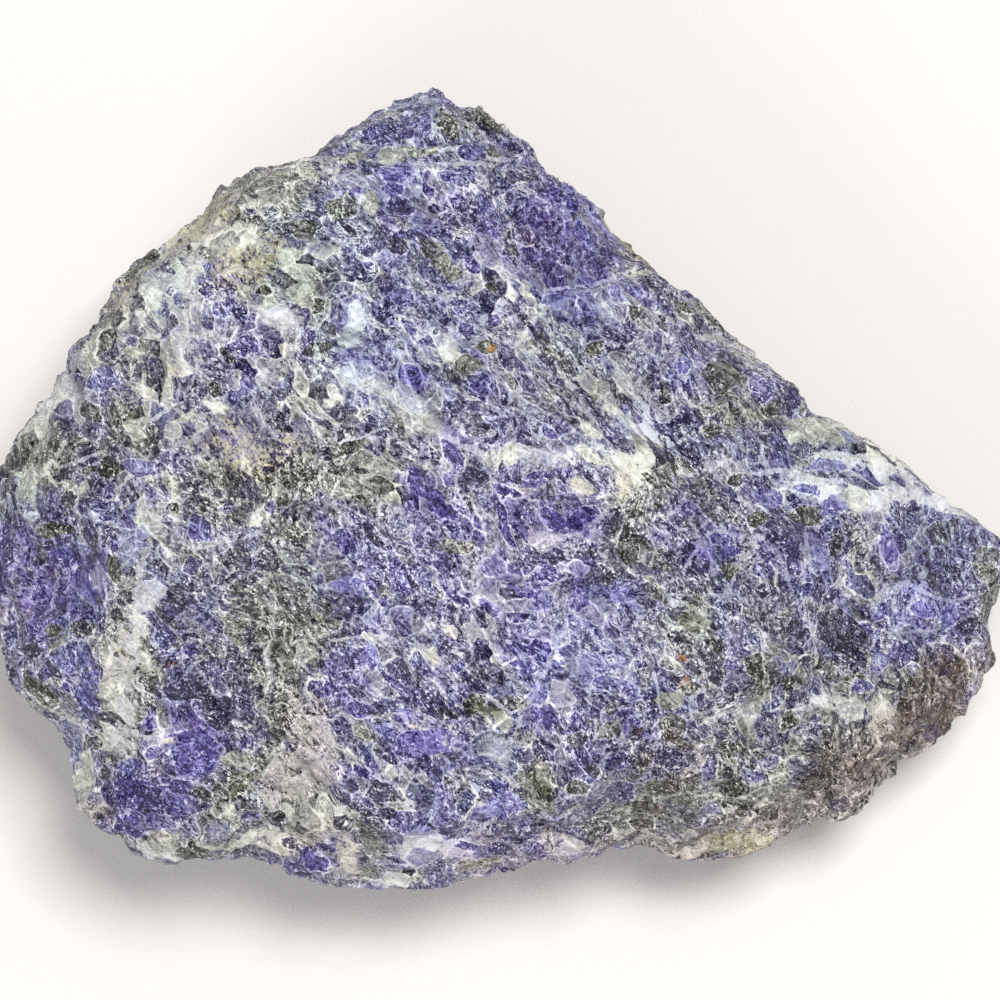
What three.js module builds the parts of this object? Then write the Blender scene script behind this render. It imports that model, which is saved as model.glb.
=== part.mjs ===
// Rough sodalite: one block broken from a vein, lying on its flattest break.
//
// Units are millimetres. The origin is on the surface that the block rests on, under the middle of
// its bounding box. +X runs along the block to its thin east tip, +Y to its north corner, +Z up.
//
// The block is one solid. It is the space inside a set of break planes and an outline, with ledges,
// hollows and ribs worked into its upper side and fracture steps all over. Every ray from its heart
// meets the surface once, so the mesh is an icosahedron's directions carried out to that surface and
// then refined where flat triangles would miss its edges.
import * as THREE from "three";
import { mergeVertices } from "three/addons/utils/BufferGeometryUtils.js";

// ---- Driving dimensions -------------------------------------------------------------------------

const CREST_HEIGHT = 61; // the highest ridge above the resting face
const HEART = new THREE.Vector3(-4, -4, 27); // a point inside the block that sees all of its surface
const EDGE_BEVEL = 2.2; // how wide the crushed edge is where two breaks meet
const WALL_LEAN = 0.32; // how far the side leans in for each mm above or below its widest level
const WIDEST_LEVEL = 24; // height of the widest level over the middle
const WIDEST_FALL = 0.09; // how much lower it gets for each mm east
const MAX_REACH = 125; // further from the heart than any point of the block
const HALVINGS = 18; // of that reach, to find the surface

const TRIANGLES = 9600; // in the finished mesh
const FIRST_DETAIL = 10; // the icosahedron's detail before refining
const BALL_SQUEEZE = new THREE.Vector3(1, 0.8, 0.55); // the block's rough proportions
const SHORTEST_EDGE = 1.2; // edges under twice this aren't split
const SLIMMEST = 0.12; // an edge isn't turned if that makes a triangle slimmer than this

// The block's widest outline in plan, counter-clockwise from the north corner.
const OUTLINE = [
  [-13, 71], [-20, 69], [-27, 65], [-33, 59.5], [-36, 58], [-45, 54.5], [-52, 47.5], [-56, 42.5],
  [-62, 39.5], [-67.5, 32], [-74, 24], [-78, 14.5], [-82.5, 6], [-87, -3], [-89, -14], [-88, -26],
  [-83, -33], [-76, -39], [-71, -45.5], [-70, -53.5], [-66, -57], [-57.5, -61.5], [-50, -62.5],
  [-43, -61.5], [-37, -63], [-28, -67], [-13, -66.5], [-5, -64.5], [3, -63], [15.5, -59.5],
  [22, -56.5], [26, -58], [32, -60.5], [40, -60.5], [45, -58.5], [54, -55], [60, -53], [66, -47.5],
  [74, -42], [78, -37], [83, -31.5], [88, -27], [90, -17], [87.5, -9], [82, -4], [74.5, 2.5],
  [69, 9], [61, 12.5], [53.5, 16], [50.5, 19.5], [43.5, 23], [38.5, 29], [33, 34.5], [25, 42],
  [15.5, 52], [5.5, 58], [-2, 63.5], [-8, 67.5],
];

// Break planes. `through` is a point on the plane, `faces` the compass way it looks, in degrees
// counter-clockwise from +X, and `slope` its tilt: 0 faces straight up, 90 is a wall, 180 faces down.
const BREAKS = [
  { name: "south face", through: [0, 9, CREST_HEIGHT], faces: -96, slope: 15 },
  { name: "north slope", through: [0, 11, CREST_HEIGHT], faces: 72, slope: 21 },
  { name: "east slope", through: [27, 0, 57.5], faces: -10, slope: 31 },
  { name: "north-east bench", through: [34, 20, 50], faces: 48, slope: 36 },
  { name: "blue cleavage face", through: [3, 42, 49], faces: 36, slope: 33 },
  { name: "west shoulder", through: [-38, 20, 58.5], faces: 158, slope: 11 },
  { name: "west slope", through: [-64, -8, 53], faces: 186, slope: 42 },
  { name: "upper weathered wall", through: [-45, 46, 48], faces: 125, slope: 62 },
  { name: "lower weathered wall", through: [-66, 28, 48], faces: 143, slope: 60 },
  { name: "south-west bevel", through: [-60, -46, 42], faces: 232, slope: 38 },
  { name: "south-east bevel", through: [46, -45, 38.5], faces: -58, slope: 33 },
  { name: "south lip", through: [-8, -62, 35], faces: -88, slope: 60 },
  { name: "east chisel", through: [80, -20, 24], faces: -20, slope: 52 },
  { name: "underside, middle", through: [-4, -8, -2.2], faces: 200, slope: 177.5 },
  { name: "underside, west", through: [-36, -6, 0], faces: 185, slope: 154 },
  { name: "underside, east", through: [24, -12, 0], faces: -8, slope: 165 },
  { name: "underside, north", through: [-5, 18, 0], faces: 84, slope: 155 },
  { name: "underside, south", through: [0, -37, 0], faces: -88, slope: 153 },
  { name: "underside, north-west", through: [-31, 13, 0], faces: 136, slope: 146 },
  { name: "underside, north-east", through: [22, 12, 0], faces: 45, slope: 149 },
  { name: "underside, south-east", through: [26, -33, 0], faces: -52, slope: 157 },
  { name: "underside, south-west", through: [-36, -31, 0], faces: 226, slope: 149 },
];

// Ledges of the upper side: the ground to the right of the line drops by `drop`, and comes back to
// its old level over `reach` further on.
const LEDGE_RUN = 2.6; // how wide a ledge's riser is in plan
const LEDGE_END = 7; // how far past its ends a ledge dies out
const LEDGES = [
  {
    name: "crown step", drop: 4.2, reach: 60,
    line: [[3, 59], [-4, 57.5], [-12, 55], [-20, 54.5], [-32, 53]],
  },
  {
    name: "crown tread", drop: 2, reach: 12,
    line: [[5, 55], [-4, 52], [-14, 51.5], [-21, 52], [-28, 49]],
  },
  {
    name: "blue face step", drop: 3, reach: 34,
    line: [[26, 37], [16, 31.5], [6, 28], [-1, 38], [-2, 49]],
  },
  {
    name: "bench step", drop: 2.2, reach: 22,
    line: [[70, 5.5], [57, 7.5], [44, 10], [33, 20], [29, 33]],
  },
  {
    name: "wall seam", drop: 1.8, reach: 11,
    line: [[-33, 56], [-42, 48], [-52, 38], [-61, 30]],
  },
  {
    name: "slip plane", drop: 1.4, reach: 12,
    line: [[30, -8], [22, 6], [12, 20], [-2, 34]],
  },
];

// Hollows of the upper side: oval dishes, `turn` degrees counter-clockwise from +X.
const HOLLOWS = [
  { name: "dark pit", at: [57, -24], radii: [7.5, 5.5], turn: -35, depth: 3.4 },
  { name: "shadowed pocket", at: [23, -13], radii: [7, 4.5], turn: 50, depth: 2.2 },
  { name: "south dish", at: [-14, -32], radii: [15, 10], turn: -38, depth: 1.7 },
  { name: "south-west dish", at: [-46, -34], radii: [13, 10], turn: -50, depth: 2.4 },
  { name: "brown pocket", at: [71, -41], radii: [5, 3], turn: 20, depth: 2.4 },
  { name: "west dish", at: [-73, -16], radii: [9, 7], turn: 60, depth: 2 },
  { name: "slip trough", at: [22, 13], radii: [20, 3], turn: -54, depth: 1.5 },
  { name: "shoulder dish", at: [-42, 12], radii: [12, 8], turn: -30, depth: 1.6 },
  { name: "north dish", at: [-14, 44], radii: [9, 7], turn: -20, depth: 1.6 },
];

// Ribs of the upper side: harder pale veins that stand proud.
const RIBS = [
  {
    name: "crest vein", width: 4.2, rise: 1.5,
    line: [[-33, 21], [-20, 15], [-9, 7], [3, 4], [14, 5], [23, 0]],
  },
  { name: "west vein", width: 4.4, rise: 1.9, line: [[-60, -5], [-63, -20], [-65, -32], [-66, -43]] },
  { name: "east vein", width: 3.2, rise: 1.3, line: [[36, 6], [47, 2], [60, -2], [73, -1]] },
  { name: "south vein", width: 3, rise: 1.2, line: [[28, -22], [14, -27], [4, -36], [-2, -46]] },
  { name: "shoulder vein", width: 3, rise: 1, line: [[-56, 27], [-53, 18], [-50, 8]] },
];

// Fracture steps: the surface breaks into cells, each a little higher or lower than its neighbours and
// tilted its own way. Cells are drawn out along the rock's lineation.
const LINEATION = THREE.MathUtils.degToRad(-52); // the way of the grain in plan
const LINEATION_STRETCH = 1.6; // how much longer than wide a cell is
const FRACTURES = [
  { name: "blocks", cell: 17, lift: 1.25, tilt: 0.12, blend: 2.4, seed: 11 },
  { name: "chips", cell: 7.5, lift: 0.7, tilt: 0.11, blend: 1.6, seed: 29 },
];

// ---- The shape as a field: negative inside, zero on the surface, near enough in mm ---------------

const radians = THREE.MathUtils.degToRad;

const breakPlanes = BREAKS.map(({ through, faces, slope }) => {
  const level = Math.sin(radians(slope));
  const normal = new THREE.Vector3(
    level * Math.cos(radians(faces)),
    level * Math.sin(radians(faces)),
    Math.cos(radians(slope)),
  );
  return { normal, offset: normal.dot(new THREE.Vector3(...through)), upper: slope < 90 };
});

// The larger of two fields, with the edge between them bevelled over `width`.
function bevelledMax(a, b, width) {
  const overlap = Math.max(width - Math.abs(a - b), 0);
  return Math.max(a, b) + (overlap * overlap) / (4 * width);
}

// 0 at and below 0, 1 at and above 1, smooth between.
function ease(t) {
  const x = THREE.MathUtils.clamp(t, 0, 1);
  return x * x * (3 - 2 * x);
}

// The nearest place on a line of points: its distance, which side of the line it is on (positive to
// the right of its direction), and how far past the line's ends.
function nearestOnLine(x, y, line) {
  let best = { distance: Infinity, side: 0, past: 0 };
  for (let i = 0; i + 1 < line.length; i++) {
    const [ax, ay] = line[i];
    const dx = line[i + 1][0] - ax;
    const dy = line[i + 1][1] - ay;
    const length = Math.hypot(dx, dy);
    const along = ((x - ax) * dx + (y - ay) * dy) / length;
    const held = THREE.MathUtils.clamp(along, 0, length);
    const gapX = x - ax - (dx * held) / length;
    const gapY = y - ay - (dy * held) / length;
    const distance = Math.hypot(gapX, gapY);
    if (distance < best.distance) {
      const side = Math.sign(dy * (x - ax) - dx * (y - ay));
      best = { distance, side, past: Math.abs(along - held) };
    }
  }
  return best;
}

// Signed distance in plan to the outline, negative inside.
function outsideOutline(x, y) {
  let inside = false;
  for (let i = 0, j = OUTLINE.length - 1; i < OUTLINE.length; j = i++) {
    const [xi, yi] = OUTLINE[i];
    const [xj, yj] = OUTLINE[j];
    if (yi > y !== yj > y && x < ((xj - xi) * (y - yi)) / (yj - yi) + xi) inside = !inside;
  }
  const { distance } = nearestOnLine(x, y, [...OUTLINE, OUTLINE[0]]);
  return inside ? -distance : distance;
}

// How far the ledges, hollows and ribs lower the upper side at a place in plan.
function worked(x, y) {
  let lowered = 0;
  for (const { drop, reach, line } of LEDGES) {
    const { distance, side, past } = nearestOnLine(x, y, line);
    const fall = ease((side * distance) / LEDGE_RUN + 0.5);
    lowered += drop * fall * (1 - ease(distance / reach)) * (1 - ease(past / LEDGE_END));
  }
  for (const { at, radii, turn, depth } of HOLLOWS) {
    const c = Math.cos(radians(turn));
    const s = Math.sin(radians(turn));
    const dx = x - at[0];
    const dy = y - at[1];
    const away = Math.hypot((c * dx + s * dy) / radii[0], (c * dy - s * dx) / radii[1]);
    lowered += depth * (1 - ease((away - 0.35) / 0.8));
  }
  for (const { width, rise, line } of RIBS) {
    lowered -= rise * (1 - ease(nearestOnLine(x, y, line).distance / width));
  }
  return lowered;
}

// A repeatable number from 0 to 1 for a cell and a channel.
function chance(i, j, k, channel) {
  let h = Math.imul(i, 374761393) ^ Math.imul(j, 668265263) ^ Math.imul(k, 506952112);
  h = Math.imul(h ^ (channel * 1274126177), 1103515245);
  h = Math.imul(h ^ (h >>> 15), 2246822519);
  h = Math.imul(h ^ (h >>> 13), 3266489917);
  return ((h ^ (h >>> 16)) >>> 0) / 4294967296;
}

// One size of fracture steps at a point: the lift and tilt of its cell, eased into the next cell's.
function fractureLift(p, { cell, lift, tilt, blend, seed }) {
  const c = Math.cos(LINEATION);
  const s = Math.sin(LINEATION);
  const q = [(c * p.x + s * p.y) / (cell * LINEATION_STRETCH), (c * p.y - s * p.x) / cell, p.z / cell];
  const [i0, j0, k0] = q.map(Math.floor);
  let near = { distance: Infinity, height: 0 };
  let next = near;
  for (let n = 0; n < 27; n++) {
    const i = i0 + (n % 3) - 1;
    const j = j0 + (Math.floor(n / 3) % 3) - 1;
    const k = k0 + Math.floor(n / 9) - 1;
    const gap = [i, j, k].map((v, axis) => q[axis] - v - chance(i, j, k, seed + axis));
    const distance = Math.hypot(...gap);
    if (distance >= next.distance) continue;
    const slant = gap.reduce((sum, g, axis) => sum + g * (chance(i, j, k, seed + 3 + axis) - 0.5), 0);
    const height = lift * (2 * chance(i, j, k, seed + 6) - 1) + 2 * tilt * cell * slant;
    const found = { distance, height };
    if (distance < near.distance) [near, next] = [found, near];
    else next = found;
  }
  const share = 0.5 * (1 - ease(((next.distance - near.distance) * cell) / blend));
  return near.height * (1 - share) + next.height * share;
}

// The space inside the break planes of one side, upper or under.
function brokenSide(p, isUpper) {
  return breakPlanes
    .filter(({ upper }) => upper === isUpper)
    .map(({ normal, offset }) => normal.dot(p) - offset)
    .reduce((a, b) => bevelledMax(a, b, EDGE_BEVEL));
}

// The space inside the outline, which narrows above and below the widest level.
function sideWall(p) {
  const widest = WIDEST_LEVEL - WIDEST_FALL * p.x;
  return outsideOutline(p.x, p.y) + WALL_LEAN * Math.abs(p.z - widest);
}

// The whole block, cut off flat where it rests.
function field(p) {
  const top = brokenSide(p, true) + worked(p.x, p.y);
  const slab = bevelledMax(top, brokenSide(p, false), EDGE_BEVEL);
  const rock = bevelledMax(slab, sideWall(p), EDGE_BEVEL);
  const steps = FRACTURES.reduce((sum, fracture) => sum + fractureLift(p, fracture), 0);
  return Math.max(rock + steps, -p.z);
}

// ---- The mesh -----------------------------------------------------------------------------------

// The surface point in a direction from the heart.
function surfaceAlong(direction) {
  const point = new THREE.Vector3();
  let inner = 0;
  let outer = MAX_REACH;
  for (let i = 0; i < HALVINGS; i++) {
    const middle = (inner + outer) / 2;
    point.copy(direction).multiplyScalar(middle).add(HEART);
    if (field(point) < 0) inner = middle;
    else outer = middle;
  }
  return direction.clone().multiplyScalar(outer).add(HEART);
}

// The icosahedron's corners and faces, squeezed to the block's proportions and carried to the surface.
function firstMesh() {
  const ball = new THREE.IcosahedronGeometry(1, FIRST_DETAIL);
  ball.deleteAttribute("normal");
  ball.deleteAttribute("uv");
  const merged = mergeVertices(ball, 1e-5);
  const places = merged.getAttribute("position");
  const points = [];
  for (let i = 0; i < places.count; i++) {
    const direction = new THREE.Vector3().fromBufferAttribute(places, i).multiply(BALL_SQUEEZE);
    points.push(surfaceAlong(direction.normalize()));
  }
  const faces = [];
  for (let i = 0; i < merged.index.count; i += 3) faces.push([...merged.index.array.slice(i, i + 3)]);
  return { points, faces };
}

const keyOf = (a, b) => (a < b ? `${a},${b}` : `${b},${a}`);

// Every edge of the mesh with its length, its faces, and the corners across it.
function edgesOf({ points, faces }) {
  const edges = new Map();
  faces.forEach((face, f) => {
    for (let i = 0; i < 3; i++) {
      const [a, b, across] = [face[i], face[(i + 1) % 3], face[(i + 2) % 3]];
      const key = keyOf(a, b);
      if (!edges.has(key)) edges.set(key, { a, b, length: points[a].distanceTo(points[b]), beside: [] });
      edges.get(key).beside.push({ f, across });
    }
  });
  return edges;
}

// How far the middle of an edge is from the surface, and the surface point that it misses.
function missOf(points, misses, a, b) {
  const key = keyOf(a, b);
  if (!misses.has(key)) {
    const chord = points[a].clone().add(points[b]).multiplyScalar(0.5);
    const point = surfaceAlong(chord.clone().sub(HEART).normalize());
    misses.set(key, { point, miss: point.distanceTo(chord) });
  }
  return misses.get(key);
}

// How open a triangle is as seen from the heart: its solid angle's sine over its longest side squared,
// negative when it is turned over.
function openness(points, a, b, c) {
  const [u, v, w] = [a, b, c].map((i) => points[i].clone().sub(HEART).normalize());
  const side = Math.max(u.distanceToSquared(v), v.distanceToSquared(w), w.distanceToSquared(u));
  return u.dot(v.cross(w)) / side;
}

// Splits in two the edges that miss the surface by most, no two of them on the same face.
function splitWorst(mesh, misses, room) {
  const { points, faces } = mesh;
  const edges = edgesOf(mesh);
  const longest = faces.map(() => 0);
  for (const { length, beside } of edges.values()) {
    for (const { f } of beside) longest[f] = Math.max(longest[f], length);
  }
  const splits = [];
  for (const edge of edges.values()) {
    const short = edge.length < 2 * SHORTEST_EDGE;
    if (short || edge.beside.some(({ f }) => edge.length < 0.7 * longest[f])) continue;
    splits.push({ ...edge, ...missOf(points, misses, edge.a, edge.b) });
  }
  splits.sort((one, other) => other.miss - one.miss);
  const most = Math.min(Math.ceil(splits.length / 8), room);
  const taken = new Set();
  let made = 0;
  for (const { a, b, point, beside } of splits) {
    if (made >= most) break;
    if (beside.some(({ f }) => taken.has(f))) continue;
    const middle = points.push(point) - 1;
    for (const { f } of beside) {
      taken.add(f);
      faces.push(faces[f].map((v) => (v === b ? middle : v)));
      faces[f] = faces[f].map((v) => (v === a ? middle : v));
    }
    made++;
  }
  return made;
}

// Turns an edge to join the corners across it wherever that follows the surface's own edges better.
function turnEdges(mesh, misses) {
  const { points, faces } = mesh;
  const taken = new Set();
  for (const { a, b, beside: [one, other] } of edgesOf(mesh).values()) {
    if (taken.has(one.f) || taken.has(other.f)) continue;
    const now = missOf(points, misses, a, b).miss;
    const turned = missOf(points, misses, one.across, other.across).miss;
    if (turned > 0.8 * now) continue;
    const first = [one.across, a, other.across];
    const second = [other.across, b, one.across];
    if (Math.min(openness(points, ...first), openness(points, ...second)) < SLIMMEST) continue;
    faces[one.f] = first;
    faces[other.f] = second;
    taken.add(one.f).add(other.f);
  }
}

// Splits and turns edges until the mesh has its triangles.
function refine(mesh) {
  const misses = new Map();
  let made = 1;
  while (made && mesh.faces.length < TRIANGLES) {
    made = splitWorst(mesh, misses, (TRIANGLES - mesh.faces.length) / 2);
    turnEdges(mesh, misses);
  }
  return mesh;
}

function rockGeometry() {
  const { points, faces } = refine(firstMesh());
  const geometry = new THREE.BufferGeometry().setFromPoints(points);
  geometry.setIndex(faces.flat());
  geometry.computeBoundingBox();
  const { min, max } = geometry.boundingBox;
  geometry.translate(-(min.x + max.x) / 2, -(min.y + max.y) / 2, -min.z);
  geometry.computeVertexNormals();
  return geometry;
}

// ---- The block ----------------------------------------------------------------------------------

const sodalite = new THREE.MeshStandardMaterial({ color: 0x5a5c92, roughness: 0.62, metalness: 0 });
const block = new THREE.Mesh(rockGeometry(), sodalite);
block.name = "sodalite_block";

const model = new THREE.Group();
model.add(block);

export default model;
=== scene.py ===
"""Looks for a block of rough sodalite: its broken skin, its minerals, and a plain studio.

The block's own places are in millimetres on the "sheet", a flat drawing of its upper side as it is
seen from the studio camera: u to the right and v away from the viewer. Everything that is built is
in metres.
"""

import sys
import logging
import math
from dataclasses import dataclass, field
from enum import Enum
from functools import cached_property

import bpy
import numpy as np
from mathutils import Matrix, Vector


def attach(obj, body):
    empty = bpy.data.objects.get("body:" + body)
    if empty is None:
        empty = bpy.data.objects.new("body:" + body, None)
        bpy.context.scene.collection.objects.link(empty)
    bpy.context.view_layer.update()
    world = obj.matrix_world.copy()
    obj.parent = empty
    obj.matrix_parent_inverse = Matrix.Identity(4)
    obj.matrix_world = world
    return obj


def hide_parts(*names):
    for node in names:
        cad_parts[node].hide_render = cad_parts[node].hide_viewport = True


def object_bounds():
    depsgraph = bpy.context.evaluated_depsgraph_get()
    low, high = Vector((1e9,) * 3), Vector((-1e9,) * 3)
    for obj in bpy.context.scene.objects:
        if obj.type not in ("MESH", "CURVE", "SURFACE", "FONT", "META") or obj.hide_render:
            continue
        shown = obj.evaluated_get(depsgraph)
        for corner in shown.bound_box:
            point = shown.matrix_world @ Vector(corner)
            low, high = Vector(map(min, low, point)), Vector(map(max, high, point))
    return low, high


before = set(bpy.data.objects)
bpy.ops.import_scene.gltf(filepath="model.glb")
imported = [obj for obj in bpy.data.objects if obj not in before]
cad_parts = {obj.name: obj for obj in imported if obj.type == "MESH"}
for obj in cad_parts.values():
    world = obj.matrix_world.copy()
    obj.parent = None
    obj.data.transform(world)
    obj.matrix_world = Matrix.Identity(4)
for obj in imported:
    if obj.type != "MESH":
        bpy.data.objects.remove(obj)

CAD_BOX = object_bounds()
LOG = logging.getLogger("sodalite")
MM = 0.001  # metres in a millimetre
STONE_NODE = "sodalite_block"
REST_PLACE = "rest_mm"  # attribute: where a point was before the fine relief, in mm
LINEATION = math.radians(-52)  # the way of the rock's grain in plan
COMBED_WAY = math.radians(45)  # the way of the fibres on the left shoulder
MIDDLE = (0.5, 0.5, 0.5)  # the middle of a random colour
Socket = bpy.types.NodeSocket  # where a node takes or gives a value
GRAIN_SEED = 7  # chooses the corners of the drawn grains
# What the skin's points carry for the drawn grains and the healed cracks.
DRAWN_NAMES = "grain_edge grain_tone grain_blue seam_away seam_side seam_width seam_tone".split()


class Zone(Enum):
    """What a patch of the block is made of, or how it differs from the rest."""

    DARK = "dark"
    PALE = "pale"
    GREY = "grey"
    VIVID = "vivid"
    CALCITE = "calcite"
    CREAM = "cream"
    OLIVE = "olive"
    BROWN = "brown"
    FELDSPAR = "feldspar"
    RUST = "rust"
    FIBRE = "fibre"
    COMBED = "combed"
    VIOLET = "violet"
    COLD = "cold"


# How a zone spreads over the sides that the sheet doesn't show: the noise at which it starts, the noise
# at which it is whole, and its greatest strength.
UNSEEN = {
    Zone.DARK: (0.1, 0.6, 0.7),
    Zone.PALE: (0.15, 0.6, 0.8),
    Zone.GREY: (-0.05, 0.35, 1.0),
    Zone.VIVID: (0.1, 0.5, 0.7),
    Zone.CALCITE: (0.42, 0.55, 1.0),
    Zone.CREAM: (0.25, 0.6, 0.6),
    Zone.OLIVE: (0.4, 0.6, 0.6),
    Zone.BROWN: (0.3, 0.6, 0.5),
    Zone.FELDSPAR: (0.4, 0.55, 0.8),
    Zone.RUST: (0.55, 0.65, 0.5),
    Zone.FIBRE: (0.0, 0.4, 0.8),
    Zone.COMBED: (0.2, 0.5, 0.8),
    Zone.VIOLET: (0.0, 0.5, 0.8),
    Zone.COLD: (0.1, 0.5, 0.6),
}

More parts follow.
